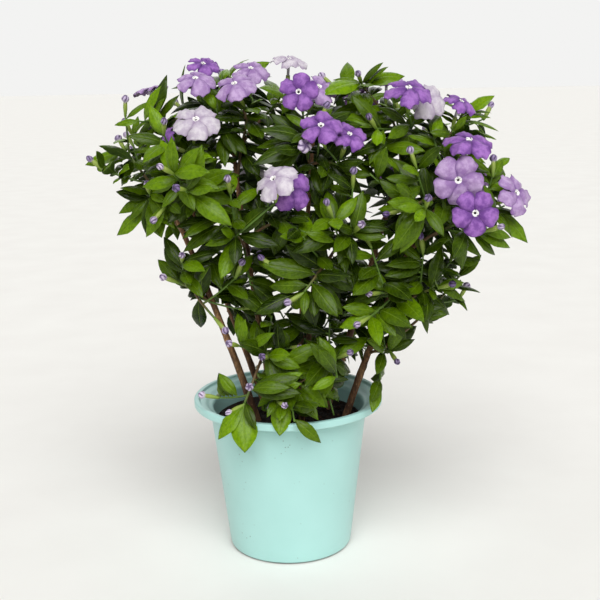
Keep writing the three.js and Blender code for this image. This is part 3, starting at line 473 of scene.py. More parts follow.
def leaf_is_clear(leaf, blade_gap=BLADE_GAP):
    """Whether a leaf is in the crown and clear of the pot, blooms, shoots and other leaves."""
    if not in_crown(leaf["samples"][-1]) or not clear_of_pot(leaf["samples"]).all():
        return False
    if hides_stem(leaf["samples"]) or in_face_room(leaf["samples"], 0, room.faces):
        return False
    places = room.balls[:, :3]
    close = np.linalg.norm(places - leaf["centre"], axis=1) <= leaf["length"]
    at_root = np.linalg.norm(places - leaf["base"], axis=1) < OWN_ROOT
    close &= ~(at_root & room.owned_by([leaf["path"]]))
    if near_blade(leaf, places[close], room.balls[close, 3] + SHOOT_GAP).any():
        return False
    if room.stacked is None:
        return True
    reach = (leaf["length"] + room.stacked["length"][:, 0]) * BLADE_REACH
    away = np.linalg.norm(room.stacked["centre"][:, 0] - leaf["centre"], axis=1)
    close = np.flatnonzero(away <= reach)
    if not len(close):
        return True
    others = {k: v[close] for k, v in room.stacked.items()}
    same = np.array([room.blades[i]["path"] is leaf["path"] for i in close])
    counts = SAMPLE_SHARES[:, 0] > np.where(same, SHARED_SHARE, 0)[:, None]
    hits = near_blade(others, leaf["samples"][None], blade_gap)
    hits |= near_blade(leaf, others["samples"][:, 0], blade_gap)
    return not (hits & counts).any()


def keep_leaf(spray, leaf):
    """A leaf goes to its spray, and takes its room."""
    room.add_blade(leaf)
    spray["leaves"].append(leaf)


def grow_leaf(spray, path, from_tip, order, turn, blade_gap=BLADE_GAP, size=1.0):
    """The leaf at a place on a path: the first of a few turns round the shoot that is clear."""
    t = max(LOWEST_LEAF, 1 - from_tip / path.length)
    tangent = path.tangent(t)
    age = min(1, YOUNG_SHARE + GROWTH_STEP * order) * size
    steep = min(LEAF_TILT["most"], LEAF_TILT["first"] + LEAF_TILT["step"] * order)
    for i in range(TRIES):
        angle = turn + order * GOLDEN_ANGLE + i * LEAF_TURN + draws.between(*TURN_JITTER)
        tilt = math.radians(steep + draws.between(*LEAF_TILT["jitter"]))
        length = draws.between(*LEAF_LENGTH) * age * (LATE_LENGTH if i > TRIES / 2 else 1)
        width = length * draws.between(*LEAF_SLENDERNESS)
        droop = draws.between(*LEAF_DROOP)
        fold = draws.between(*LEAF_FOLD)
        out = around(tangent, angle)
        out[2] = LEAF_RISE["share"] * out[2] + LEAF_RISE["more"]
        direction = unit(tangent * math.cos(tilt) + out * math.sin(tilt))
        x, y, _ = leaf_root(path, t, direction)
        outward = [x / FACING["width"], (y - FACING["middle"]) / FACING["depth"], 0]
        facing = tangent * FACING["shoot"] + UP * FACING["up"] + outward
        leaf = make_leaf(path, t, order, direction, facing, length, width, droop, fold)
        if leaf_is_clear(leaf, blade_gap):
            keep_leaf(spray, leaf)
            return


def outer_leaf(sprays, shoot, tip, face, width, droop):
    """A leaf that is aimed above its tip's place by as much as it droops on the way."""
    spray = sprays[shoot[0]]
    path = spray["axes"][shoot[1]]
    face = np.array(face, float)
    length = np.linalg.norm(np.array(tip) - path.at(1))
    direction = unit(tip + unit(face) * (droop * length) - path.at(1))
    shape = (length, width * length, droop, OUTER_FOLD)
    keep_leaf(spray, make_leaf(path, 1.0, 1, direction, face, *shape, OUTLINE_PAINTED_LIGHT))


def grow_axis(root, lead, head, parents, own_faces):
    """A leading shoot from a root point to a head, bowed until it is clear of the others."""
    reach = np.linalg.norm(head - root)
    for i in range(2 * TRIES):
        bow = around(unit(head - root), draws.between(*FULL_TURN)) * (i * BOW_STEP)
        control = root * 0.5 + head * 0.5 + lead * (AXIS_LEAD * reach) + bow
        path = Path([root, control, head], AXIS_RADIUS, AXIS_STEPS)
        if path_is_clear(path, parents, own_faces):
            break
    return path


def keep_path(spray, part, path):
    """A twig or a bud goes to its spray and takes its room, if it could grow."""
    if path is not None:
        room.claim(path)
        spray[part].append(path)


def grow_twig(axis, t):
    """A side twig at a place on an axis, turned until it is clear."""
    root = axis.at(t)
    tangent = axis.tangent(t)
    turn = draws.between(*FULL_TURN)
    for i in range(TRIES):
        tilt = math.radians(draws.between(*TWIG_TILT))
        length = draws.between(*TWIG_LENGTH)
        out = around(tangent, turn + i * GOLDEN_ANGLE)
        direction = unit(tangent * math.cos(tilt) + out * math.sin(tilt) + UP * TWIG_RISE["start"])
        end = root + direction * length + UP * (TWIG_RISE["end"] * length)
        path = Path([root, root + direction * (0.5 * length), end], TWIG_RADIUS)
        if in_crown(end) and path_is_clear(path, [axis]):
            path.grows_from = (axis, t)
            return path
    return None


def grow_bud(path):
    """The line of the bud that ends a shoot."""
    tip = path.at(1)
    tangent = path.tangent(1)
    for _ in range(TRIES):
        lean = draws.between(*BUD_LEAN)
        direction = tangent + around(tangent, draws.between(*FULL_TURN)) * lean + UP * BUD_RISE
        end = tip + unit(direction) * BUD_LENGTH
        bud = Path([tip, tip * 0.5 + end * 0.5, end], (1, BUD_RADIUS))
        if path_is_clear(bud, [path]):
            return bud
    return None


def place_bloom(at, look, size, droop, age, shoot):
    """A bloom's place: its face, and the neck and foot of the tube behind it."""
    spray, head = shoot
    at = np.array(at, float)
    look = unit(np.array(look, float))
    neck = at - look * TUBE["neck"]
    turn = unit(look + unit(neck - np.array(SPRAYS[spray][2][head], float)))
    end = neck - turn * TUBE["length"]
    lobes = [draws.between(*LOBE_LIFT) for _ in range(LOBES)]
    start = draws.between(0, LOBE_SPAN)
    room.claim(Path([at, neck, end], TUBE["radius"]))
    room.faces.append({
        "at": at, "look": look, "neck": neck, "turn": turn, "end": end, "lobes": lobes,
        "start": start, "radius": size * BLOOM_RADIUS, "droop": droop, "age": age, "spray": spray,
        "head": head,
    })


def grow_stalk(face, axis):
    """The stalk from a shoot to the calyx under a bloom, and the calyx's own line."""
    top = face["end"] - face["turn"] * SEAT_GAP
    foot = face["end"] - face["turn"] * (SEAT_GAP + CALYX["length"])
    t = STALK_PLACES[0 if axis.bloom is None else 1]
    root = axis.at(t)
    reach = np.linalg.norm(foot - root)
    control = root * 0.6 + foot * 0.4 + axis.tangent(t) * (STALK_LEAD * reach)
    path = Path([root, control, foot], (STALK_RADIUS, STALK_RADIUS))
    path.grows_from = (axis, t)
    collar = Path([foot, foot * 0.5 + top * 0.5, top], (CALYX["radius"], CALYX["radius"]))
    return path, collar


def grow_spray(index, stems):
    """A spray's one or two leading shoots, the second from part of the way up the first."""
    stem, share, heads = SPRAYS[index]
    mine = [f for f in room.faces if f["spray"] == index]
    axes = []
    for k, head in enumerate(np.array(heads, float)):
        parent = axes[0] if k else stems[stem]
        t = BRANCHES[k - 1] if k else share
        middle = parent.at(t)
        lead = parent.tangent(t)
        away = head - middle
        away = unit(away - lead * away.dot(lead))
        root = middle if k else middle + away * (stems[stem].radius_at(t) + SEAT_GAP)
        own = [f for f in mine if f["head"] == k]
        axis = grow_axis(root, lead, head, [stems[stem], *axes], own)
        axis.grows_from = (parent, t)
        axes.append(axis)
        room.claim(axis)
    return {"axes": axes, "blooms": mine, "stalks": [], "twigs": [], "buds": [], "leaves": []}


def grow_plant():
    """The CAD source's plant, piece by piece in its order: stems, blooms, shoots, buds, leaves."""
    stems = []
    for (root, *rest), radius in STEMS.values():
        stems.append(Path([(*root, STEM_ROOT_Z), *rest], radius, STEM_STEPS))
        room.claim(stems[-1])
    for stem, low, high, half in BARE_STEMS:
        shares = [low + (high - low) * i / BARE_STEPS for i in range(BARE_STEPS + 1)]
        at = np.array([stems[stem].at(t) for t in shares])
        rows = np.column_stack([at, unit(VIEWPOINT - at), np.full(len(at), half)])
        room.bare = np.vstack([room.bare, rows])
    for bloom in BLOOMS:
        place_bloom(*bloom)
    sprays = [grow_spray(index, stems) for index in range(len(SPRAYS))]
    for spray in sprays:
        for bloom in spray["blooms"]:
            axis = spray["axes"][bloom["head"]]
            stalk, collar = grow_stalk(bloom, axis)
            axis.bloom = axis.bloom or bloom
            room.claim(stalk)
            room.claim(collar)
            spray["stalks"].append((stalk, collar))
    for spray in sprays:
        for axis in spray["axes"]:
            keep_path(spray, "twigs", grow_twig(axis, draws.between(*TWIG_PLACE)))
    for spray in sprays:
        for path in spray["twigs"] + spray["axes"]:
            if path.bloom is None:
                keep_path(spray, "buds", grow_bud(path))
    for row in OUTER_LEAVES:
        outer_leaf(sprays, *row)
    for order in range(max(AXIS_LEAVES, TWIG_LEAVES)):
        for number, spray in enumerate(sprays):
            for k, path in enumerate(spray["axes"] + spray["twigs"]):
                if order < (AXIS_LEAVES if k < len(spray["axes"]) else TWIG_LEAVES):
                    from_tip = FIRST_LEAF + order * LEAF_SPACING
                    grow_leaf(spray, path, from_tip, order, number + 2 * k)
    return stems, sprays


# The shrub fills out: twigs and leaves past what the CAD model has triangles for
MORE_TWIGS = {"places": (0.26, 0.46, 0.66, 0.86), "jitter": 0.06, "ceiling": 434}
MORE_BUDS = 0.45
MORE_LEAVES = {"count": 11, "first": 3, "spacing": 5, "size": 0.87, "gap": 1.1, "turn": 1.7}

# One more leaf over the rim, and a large bud that opens: its twig's shoot, how far up it the twig
# starts and where it ends, and the bud's own tip
RIM_LEAF = ((6, 1), (-62, -90, 138), (-0.5, -0.8, 0.7), 0.42, 0.12)
OPENING_TWIG = ((13, 0), 0.82, (16, -70, 385))
OPENING_TIP = (20, -88, 391)
OPENING_SIZE = 1.8

# Leafy twigs where the crown would else have a gap: their shoot, how far up it, and their end
TWIG_SAG = 4
GAP_TWIGS = [
    ((6, 0), 0.55, (-12, -60, 240)),
    ((5, 0), 0.3, (-30, -60, 268)),
    ((20, 0), 0.5, (84, -44, 384)),
    ((13, 1), 0.6, (58, -48, 352)),
    ((19, 0), 0.5, (84, -50, 172)),
    ((15, 0), 0.5, (42, -58, 146)),
]


def twig_to(sprays, shoot, place, end):
    """A twig from a leading shoot to a point, sagging a little on the way."""
    spray = sprays[shoot[0]]
    axis = spray["axes"][shoot[1]]
    root, end = axis.at(place), np.array(end, float)
    twig = Path([root, root * 0.4 + end * 0.6 - UP * TWIG_SAG, end], TWIG_RADIUS)
    twig.grows_from = (axis, place)
    keep_path(spray, "twigs", twig)


def grow_opening_bud(sprays):
    """A large bud on a twig of its own."""
    twig_to(sprays, *OPENING_TWIG)
    shoot, _, end = OPENING_TWIG
    end, tip = np.array(end, float), np.array(OPENING_TIP, float)
    bud = Path([end, end * 0.5 + tip * 0.5, tip], (1, BUD_RADIUS * OPENING_SIZE))
    bud.size = OPENING_SIZE
    keep_path(sprays[shoot[0]], "buds", bud)


def fill_out(sprays):
    """More twigs and buds on every leading shoot, and more leaves on every shoot, by the same rule."""
    outer_leaf(sprays, *RIM_LEAF)
    grow_opening_bud(sprays)
    for row in GAP_TWIGS:
        twig_to(sprays, *row)
    for spray in sprays:
        for axis in spray["axes"]:
            for place in MORE_TWIGS["places"]:
                jitter = draws.between(-MORE_TWIGS["jitter"], MORE_TWIGS["jitter"])
                twig = grow_twig(axis, place + jitter)
                if twig is not None and twig.at(1)[2] < MORE_TWIGS["ceiling"]:
                    keep_path(spray, "twigs", twig)
                    if draws.between(0, 1) < MORE_BUDS:
                        keep_path(spray, "buds", grow_bud(twig))
    for order in range(MORE_LEAVES["count"]):
        from_tip = MORE_LEAVES["first"] + order * MORE_LEAVES["spacing"]
        for number, spray in enumerate(sprays):
            for k, path in enumerate(spray["axes"] + spray["twigs"]):
                if from_tip <= path.length + MORE_LEAVES["spacing"]:
                    turn = number + 3 * k + MORE_LEAVES["turn"]
                    close = MORE_LEAVES["gap"], MORE_LEAVES["size"]
                    grow_leaf(spray, path, from_tip, order, turn, *close)


# Meshes
def lay(start, body, end):
    """One row of values for each copy: its start point, its rings in turn, and its end point."""
    copies = len(body)
    tail = body.shape[3:]
    parts = [start.reshape(copies, 1, *tail), body.reshape(copies, -1, *tail)]
    return np.concatenate([*parts, end.reshape(copies, 1, *tail)], axis=1).reshape(-1, *tail)


def marks(shape, body, start, end):
    """A number for each point of skins with a shape of copies, rings and sides, in lay's order. What
    is the same for many of them is given once."""
    first, last = (np.broadcast_to(tip, (shape[0], 1, 1)) for tip in (start, end))
    return lay(first, np.broadcast_to(body, shape), last)


def skin_faces(copies, rings, sides):
    """Faces of closed skins. Every copy is a start point, rings that turn right-handed round the
    way along, and an end point: four-cornered faces between rings, and a fan at each end."""
    first = np.arange(copies)[:, None, None] * (2 + rings * sides)
    ring = first + 1 + np.arange(rings)[:, None] * sides
    k = np.arange(sides)
    after = (k + 1) % sides
    low, high = ring[:, :-1], ring[:, 1:]
    quads = np.stack([low + k, low + after, high + after, high + k], -1).reshape(-1, 4)
    root, last = ring[:, :1], ring[:, -1:]
    start = np.stack([first + 0 * k, root + after, root + k], -1).reshape(-1, 3)
    end = np.stack([last + k, last + after, first + 1 + rings * sides + 0 * k], -1).reshape(-1, 3)
    return quads, np.concatenate([start, end])


def join_faces(first, second, shift):
    """The faces of two groups of skins in one mesh, where the second's points start at shift."""
    return [first[0], second[0] + shift, first[1], second[1] + shift]


def add_object(name, data):
    """A new object in the scene."""
    thing = bpy.data.objects.new(name, data)
    bpy.context.scene.collection.objects.link(thing)
    return thing


def make_piece(name, points, faces, finish, values=None, under=None, sharp=None, smooth=True):
    """A mesh from points in millimetres. values holds a number for each point by name, under is a
    mask of its faces, and an edge is sharp where both its points have the same number in sharp."""
    mesh = bpy.data.meshes.new(name)
    mesh.from_pydata(points * MM, [], [row for group in faces for row in group.tolist()])
    for key, numbers in (values or {}).items():
        layer = mesh.attributes.new(key, "FLOAT", "POINT")
        layer.data.foreach_set("value", np.asarray(numbers, np.float32).ravel())
    if under is not None:
        layer = mesh.attributes.new("under", "FLOAT", "FACE")
        layer.data.foreach_set("value", np.asarray(under, np.float32).ravel())
    if smooth:
        mesh.shade_smooth()
    if sharp is not None:
        ends = np.zeros(2 * len(mesh.edges), np.int32)
        mesh.edges.foreach_get("vertices", ends)
        lines = sharp[ends.reshape(-1, 2)]
        layer = mesh.attributes.new("sharp_edge", "BOOLEAN", "EDGE")
        layer.data.foreach_set("value", (lines[:, 0] == lines[:, 1]) & (lines[:, 0] > 0))
    mesh.materials.append(finish)
    return add_object(name, mesh)


def mount(piece, slot, *nodes):
    """A piece rides on the one body and stands for its CAD nodes, which are hidden; its slot is not
    used.
    """
    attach(piece, "root")
    if nodes:
        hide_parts(*nodes)
    return piece


def turns(count):
    """Angles that share out a full turn evenly."""
    return 2 * math.pi * np.arange(count) / count


def carry(centres, along, radii, sides):
    """Rings carried along lines: each is square to its line, at its radius from the centre."""
    steep = np.abs(along[:, :1, 2:]) > 0.9
    reference = np.where(steep, np.array([1.0, 0.0, 0.0]), UP)
    across = unit(np.cross(reference, along))[..., None, :]
    other = np.cross(along, across[..., 0, :])[..., None, :]
    angle = turns(sides)[:, None]
    ring = across * np.cos(angle) + other * np.sin(angle)
    return centres[..., None, :] + radii[..., None] * ring


def straight(foot, tip, share):
    """Centres at shares of the way from each foot to its tip, and the way along."""
    centres = foot[:, None] + (tip - foot)[:, None] * share[:, None]
    return centres, unit(tip - foot)[:, None] + 0 * centres


def curve_points(path, root, shares):
    """Points of a path's true curve, which starts from its root on the drawn curve of its parent."""
    points = np.array([root, *path.points[1:]])
    return np.array([bezier(points, t) for t in shares])


# Leaves: each blade is lens-shaped across, with a crease along the rib and a waved margin

# A blade has rings at these shares of its length. A ring's points lie across it at LEAF_RING, and
# LEAF_FACE is 1 on top, -1 below and 0 at the edge. From LEAF_BACK on, the ring's faces are below.
LEAF_STATIONS = np.array([0.04, 0.12, 0.25, 0.4, 0.56, 0.71, 0.84, 0.94])
LEAF_RING = np.array([1, 0.5, 0, -0.5, -1, 0])
LEAF_FACE = np.array([0, 1, 1, 1, 0, -1])
LEAF_BACK = 4
LEAF_THICK = {"blade": 0.22, "foot": 0.4, "fade": 0.06}
RIB_GROOVE = 0.3
HALF_SWELL = 0.13
MARGIN_WAVE = 0.08
WAVE_SHIFT = 0.23
DRAWN = {"length": 0.95, "width": 0.8, "fold": 1.3}
FRESH_GROWTH = {"length": 1.05, "width": 1.32}
ARCH = {"fall": 1.75, "rise": 0.4}
CROWN_MIDDLE = (20, 0, 300)
CROWN_REACH = (190, 120, 170)
# The leaf tint: its mean and spread, how much darker each older leaf is, and painted shade deep in the
# crown: its strength, and how far out from the crown's middle it reaches
LEAF_TINT_AND_SHADE = {"mean": 0.62, "spread": 0.26, "older": 0.06, "inner": 2, "depth": 0.9}
LEAF_WAVES = (1.6, 3.1)
LEAF_SWAY = 0.05


def drawn_profile(s):
    """Half the width as a share of all of it: the growth rule's sine, with fuller shoulders."""
    q = np.clip((s - PETIOLE_SHARE) / (1 - PETIOLE_SHARE), 0, 1)
    blade = np.maximum(np.sin(math.pi * q**0.94), 0) ** (0.66 + 0.3 * q)
    return 0.5 * np.maximum(PETIOLE_WIDTH * (1 - q), blade)


def leaf_points(leaf, s, t, face):
    """A blade's points: s runs from base to tip and t from edge to edge. The rib rises a little with
    s and falls with its square, and the halves fold down from it, rounder towards the margin, which
    waves as a sine of s. Each half swells between the sunk rib and the margin. face is 1 on top, -1
    below and 0 at the edge, and sets off the thickness."""
    length, half = leaf["length"], leaf["width"] * drawn_profile(s)
    bend = leaf["droop"] * length * s * (ARCH["fall"] * s - ARCH["rise"])
    fold = leaf["fold"] * half * np.abs(t) * (0.3 + 0.7 * np.abs(t))
    phase = leaf["phase"] + WAVE_SHIFT * np.sign(t)
    wave = MARGIN_WAVE * half * t * t * np.sin(2 * math.pi * (leaf["waves"] * s + phase))
    thick = LEAF_THICK["blade"] + LEAF_THICK["foot"] * np.exp(-s / LEAF_THICK["fade"])
    groove = RIB_GROOVE * (t == 0) * (face > 0) * np.minimum(1, 6 * s)
    swell = HALF_SWELL * half * (1 - np.abs(2 * np.abs(t) - 1)) * (face > 0)
    height = face * thick * (1 - 0.4 * t * t) - groove + swell + wave - bend - fold
    aside = leaf["sway"] * length * s * s + half * t
    place = (leaf["along"], s * length), (leaf["side"], aside), (leaf["normal"], height)
    return leaf["base"] + sum(direction * amount[..., None] for direction, amount in place)


def make_leaves(name, leaves, finish, chance):
    """All of a spray's leaves in one piece. Each is moved onto its shoot's drawn curve, and takes a
    tint that is darker for an older leaf, with painted shade that darkens a leaf deep in the crown and
    painted light that lightens an outline leaf."""
    shape = (len(leaves), len(LEAF_STATIONS), len(LEAF_RING))
    count = shape[0]
    keys = ("base", "along", "side", "normal", "length", "width", "droop", "fold", "order", "fresh")
    rows = {key: np.array([leaf[key] for leaf in leaves]) for key in keys}
    drawn = [leaf["path"].curve(leaf["t"]) - leaf["path"].at(leaf["t"]) for leaf in leaves]
    rows["base"] = rows["base"] + np.array(drawn)
    for key, share in DRAWN.items():
        rows[key] = rows[key] * share * np.where(rows["fresh"] > 0, FRESH_GROWTH.get(key, 1), 1)
    outward = np.linalg.norm((rows["base"] - CROWN_MIDDLE) / CROWN_REACH, axis=1)
    rows["phase"] = chance.uniform(0, 1, count)
    rows["waves"] = chance.uniform(*LEAF_WAVES, count)
    rows["sway"] = chance.uniform(-LEAF_SWAY, LEAF_SWAY, count)
    rows = {k: v[:, None, None] for k, v in rows.items()}
    s = LEAF_STATIONS[:, None] + 0 * LEAF_RING
    t = LEAF_RING + 0 * s
    none = np.zeros((1, 1))
    ends = [leaf_points(rows, none + end, none, none) for end in (0, 1)]
    points = lay(ends[0], leaf_points(rows, s, t, LEAF_FACE + 0 * s), ends[1])
    # Painted shade: leaves deep in the crown are darkened, the more the deeper they lie.
    inner = np.clip(LEAF_TINT_AND_SHADE["depth"] - outward, 0, 1)[:, None, None]
    tint = chance.normal(LEAF_TINT_AND_SHADE["mean"], LEAF_TINT_AND_SHADE["spread"], (count, 1, 1))
    tint = tint - LEAF_TINT_AND_SHADE["older"] * rows["order"] - LEAF_TINT_AND_SHADE["inner"] * inner
    # The outline leaves are lightened here: painted light.
    tint = np.clip(tint + rows["fresh"], 0, 1)
    values = {
        "along": marks(shape, s, 0, 1),
        "across": marks(shape, t, 0, 0),
        "tint": marks(shape, tint, tint, tint),
    }
    rib, margins = 3 * (LEAF_FACE > 0), 1.5 + LEAF_RING / 2
    line = np.where(LEAF_RING == 0, rib, np.where(LEAF_FACE == 0, margins, 0))
    below = np.tile(np.arange(shape[2]) >= LEAF_BACK, count * (shape[1] + 1))
    sharp = marks(shape, line, 0, 0)
    return make_piece(name, points, skin_faces(*shape), finish, values, below, sharp)


# Shoots, with the green calyx under each bud and bloom
SHOOT_SIDES = 8
SHOOT_STATIONS = 12
SHOOT_JOINTS = {"swell": 0.1, "turn": 34}
WOODY = {"axes": 1.0, "twigs": 0.35, "stalks": 0.0}
GREENING = 0.75
CALYX_SIDES = 10
# Rows of a share of the way to the mouth, and the radius there as a share of the calyx's
CALYX_PROFILE = np.array([
    (-0.04, 0.42), (0.06, 0.62), (0.3, 0.8), (0.6, 1), (0.82, 1.04), (0.96, 0.94), (1.02, 0.8),
])
CALYX_REACH = 1.4
CALYX_DEPTH = 2.5
CALYX_SIZES = (0.88, 1.08)
CALYX_RIBS = 0.06
CALYX_TEETH = 0.9
BUD_CALYX = 11.5


def make_shoots(name, spray, finish, chance):
    """A spray's axes, twigs and stalks: round tubes along their curves, thickened a little at each
    joint, and the calyces."""
    parts = {**spray, "stalks": [stalk for stalk, _ in spray["stalks"]]}
    tubes = [(path, path.grows_from, woody) for part, woody in WOODY.items() for path in parts[part]]
    shape = (len(tubes), SHOOT_STATIONS, SHOOT_SIDES)
    shares = np.linspace(0, 1, SHOOT_STATIONS)
    centres = np.array([curve_points(path, parent.curve(t), shares) for path, (parent, t), _ in tubes])
    along = unit(np.gradient(centres, axis=1))
    radii = np.array([path.radius_at(shares) for path, _, _ in tubes])
    joints = 1 + SHOOT_JOINTS["swell"] * np.maximum(0, np.sin(shares * SHOOT_JOINTS["turn"])) ** 4
    body = carry(centres, along, (radii * joints)[..., None], SHOOT_SIDES)
    wood = np.array([woody for _, _, woody in tubes])[:, None, None]
    wood = wood * (1 - GREENING * shares[:, None])
    points = lay(centres[:, :1, None], body, centres[:, -1:, None])
    wood = marks(shape, wood, wood[:, :1], wood[:, -1:])
    cup_points, cup_faces, cup = make_calyces(calyx_lines(spray), chance)
    faces = join_faces(skin_faces(*shape), cup_faces, len(points))
    values = {"wood": np.append(wood, 0 * cup), "cup": np.append(0 * wood, cup)}
    return make_piece(name, np.concatenate([points, cup_points]), faces, finish, values)


def calyx_lines(spray):
    """The foot and the mouth of every calyx: under each bud, and under each bloom's tube."""
    lines = []
    for bud in spray["buds"]:
        lines.append((bud.at(0) - bud.tangent(0), bud.at(0) + bud.tangent(0) * BUD_CALYX))
    for _, collar in spray["stalks"]:
        lines.append((collar.at(0), collar.at(1) + collar.tangent(1) * CALYX_REACH))
    return np.array(lines)


def make_calyces(lines, chance):
    """Cups along straight lines: the radius follows the profile, with five low ribs, and the mouth
    rises and falls in five teeth."""
    foot, mouth = lines[:, 0], lines[:, 1]
    share, width = CALYX_PROFILE.T
    shape = (len(lines), len(share), CALYX_SIDES)
    centres, along = straight(foot, mouth, share)
    angle = turns(CALYX_SIDES)
    ribs = 1 + CALYX_RIBS * np.cos(LOBES * angle)
    size = CALYX["radius"] * chance.uniform(*CALYX_SIZES, len(lines))[:, None, None]
    body = carry(centres, along, size * width[:, None] * ribs, CALYX_SIDES)
    teeth = (CALYX_TEETH * np.cos(LOBES * angle) * (share[:, None] > 0.9))[None, ..., None]
    body = body + along[..., None, :] * teeth
    deep = centres[:, -1:, None] - CALYX_DEPTH * along[:, -1:, None]
    points = lay(foot[:, None, None] - along[:, :1, None], body, deep)
    return points, skin_faces(*shape), marks(shape, 0.35 + 0.65 * share[:, None], 0.3, 1)


# Buds: a closed head of five petals that are rolled round each other
BUD_SIDES = 20
# Rows of a share of the way from the neck to the tip, and the radius there as a share of the bud's
BUD_PROFILE = np.array([
    (-0.12, 0.3), (0.08, 0.36), (0.3, 0.5), (0.42, 0.84), (0.56, 1.02), (0.7, 1), (0.84, 0.78),
    (0.94, 0.46), (0.985, 0.2),
])
BUD_FROM = 0.5
BUD_TWIST = 1.5
BUD_FOLDS = 0.09
BUD_SIZES = (0.85, 1.16)


def make_buds(name, buds, finish, chance):
    """Round heads on short necks. The radius follows the profile and swells in five folds, which
    turn round the head as they rise."""
    foot, tip = (np.array([bud.at(t) for bud in buds]) for t in (BUD_FROM, 1))
    share, width = BUD_PROFILE.T
    shape = (len(buds), len(share), BUD_SIDES)
    centres, along = straight(foot, tip, share)
    folds = np.cos(LOBES * (turns(BUD_SIDES) - BUD_TWIST * share[:, None]))
    grown = np.array([bud.size for bud in buds])
    size = (BUD_RADIUS * chance.uniform(*BUD_SIZES, len(buds)) * grown)[:, None, None]
    radii = size * width[:, None] * (1 + BUD_FOLDS * folds * width[:, None])
    body = carry(centres, along, radii, BUD_SIDES)
    tint = chance.uniform(0, 1, (len(buds), 1, 1)) * (grown == 1)[:, None, None]
    values = {
        "along": marks(shape, share[:, None], 0, 1),
        "fold": marks(shape, folds, 1, -1),
        "tint": marks(shape, tint, tint, tint),
    }
    points = lay(foot[:, None, None] - 2 * along[:, :1, None], body, tip[:, None, None])
    return make_piece(name, points, skin_faces(*shape), finish, values)


# Blooms: five overlapping round lobes, and a tube that flares into the eye between them
LOBE_STATIONS = 14
LOBE_EDGE = 9
LOBE_RING = 2 * LOBE_EDGE - 2
LOBE_THICK = 0.34
LOBE = {"inner": 0.08, "outer": 0.95, "half": {"violet": 0.48, "lilac": 0.5, "white": 0.52}}
LOBE_DISH = 0.1
LOBE_LAP = 0.045
LOBE_TURN = 0.05
LOBE_WIDTHS = (0.94, 1.05)
PLEATS = 0.02
TUBE_SIDES = 16
# Rows of a share of the tube's line and the radius there: out to the eye's rim, and back inside
TUBE_PROFILE = np.array([
    (0.02, 1.05), (0.1, 1.25), (0.35, 1.3), (0.6, 1.45), (0.8, 1.6), (0.9, 1.85), (0.955, 2.3),
    (0.97, 2.4), (0.985, 2.2), (0.98, 1.6), (0.95, 1.1), (0.88, 0.8), (0.78, 0.7),
])
EYE_RIM = 7
THROAT = {"end": 0.72, "wide": 3.6, "deepest": 4, "sink": 0.4, "radial": 0.05}
RIPPLES = (0.035, 0.025)
RUFFLES = (0.065, 0.045)


def lobe_points(bloom, turn, tip, half, chance):
    """One lobe as a closed thin shell. Its outline is an ellipse from the eye to the tip, at the
    sine and cosine of one parameter, with a few waves on it. The shell sags with the square of the
    distance from the middle, lifts on one side to lie over the next lobe, and ruffles at its rim.
    Lengths are shares of the bloom's radius until the last lines."""
    phi = np.linspace(0, math.pi, LOBE_STATIONS + 2)[1:-1, None]
    upper = np.linspace(1, -1, LOBE_EDGE)
    v = np.concatenate([upper, upper[-2:0:-1]])[None]
    face = np.concatenate([np.sqrt(1 - upper**2), -np.sqrt(1 - upper[-2:0:-1] ** 2)])[None]
    a, b, c, d = chance.uniform(0, 2 * math.pi, 4)
    x, y, rho = lobe_outline(phi, v, half, (a, b))
    rise = tip - bloom["droop"]
    z = lobe_height(x, y, v, rho, rise, (c, d)) + face * LOBE_THICK / bloom["radius"]
    body = np.stack([x, y, z], -1)
    ends = []
    for end in (0.0, math.pi):
        x, y, rho = lobe_outline(np.array([[end]]), np.zeros((1, 1)), half, (a, b))
        ends.append(np.stack([x, y, lobe_height(x, y, 0 * x, rho, rise, (c, d))], -1))
    shaped = lay(ends[0][None], body[None], ends[1][None])
    cos, sin = math.cos(turn), math.sin(turn)
    flat = shaped @ np.array([[cos, sin, 0], [-sin, cos, 0], [0, 0, 1]]) * bloom["radius"]
    radial = np.hypot(shaped[:, 0], shaped[:, 1])
    shape = (1, LOBE_STATIONS, LOBE_RING)
    across, edge = marks(shape, v, 0, 0), marks(shape, np.abs(v), 1, 1)
    return flat @ bloom["frame"] + bloom["at"], radial, across, edge


def lobe_outline(phi, v, half, waves):
    """An ellipse, its long way out from the eye: narrow at the eye, broad past its middle, wavy."""
    middle = (LOBE["inner"] + LOBE["outer"]) / 2
    reach = (LOBE["outer"] - LOBE["inner"]) / 2
    rho = np.sqrt(np.cos(phi) ** 2 + (v * np.sin(phi)) ** 2)
    turn = phi * np.sign(v + 0.001)
    ripple = RIPPLES[0] * np.sin(5 * turn + waves[0]) + RIPPLES[1] * np.sin(9 * turn + waves[1])
    ripple = 1 + ripple * rho**4
    x = middle - reach * np.cos(phi) * ripple * (1 - 0.07 * v * v * (phi > math.pi / 2))
    broad = 0.58 + 0.46 * np.sin(phi / 2) ** 2
    y = half * v * np.sin(phi) ** 0.72 * broad * ripple
    y = y + 0.012 * np.sin(3 * phi + waves[1])
    return x, y, rho


def lobe_height(x, y, v, rho, rise, waves):
    """The sag and lift of the CAD face, a soft cushion, the lap over the next lobe, pleats that
    run out from the eye, and the ruffle of the rim."""
    out = x * x + y * y
    cushion = LOBE_DISH * (np.sin(math.pi * np.clip(x, 0, 1)) * (1 - v * v) - 0.4)
    lap = LOBE_LAP * v
    pleats = PLEATS * np.cos(7 * v + waves[1]) * np.sin(math.pi * np.clip(x, 0, 1))
    angle = np.arctan2(y, x - 0.55)
    ruffle = RUFFLES[0] * np.sin(3 * angle + waves[0]) + RUFFLES[1] * np.sin(7 * angle + waves[1])
    return rise * out + cushion + lap + pleats + ruffle * rho**3 * np.clip(out * 1.6, 0, 1)


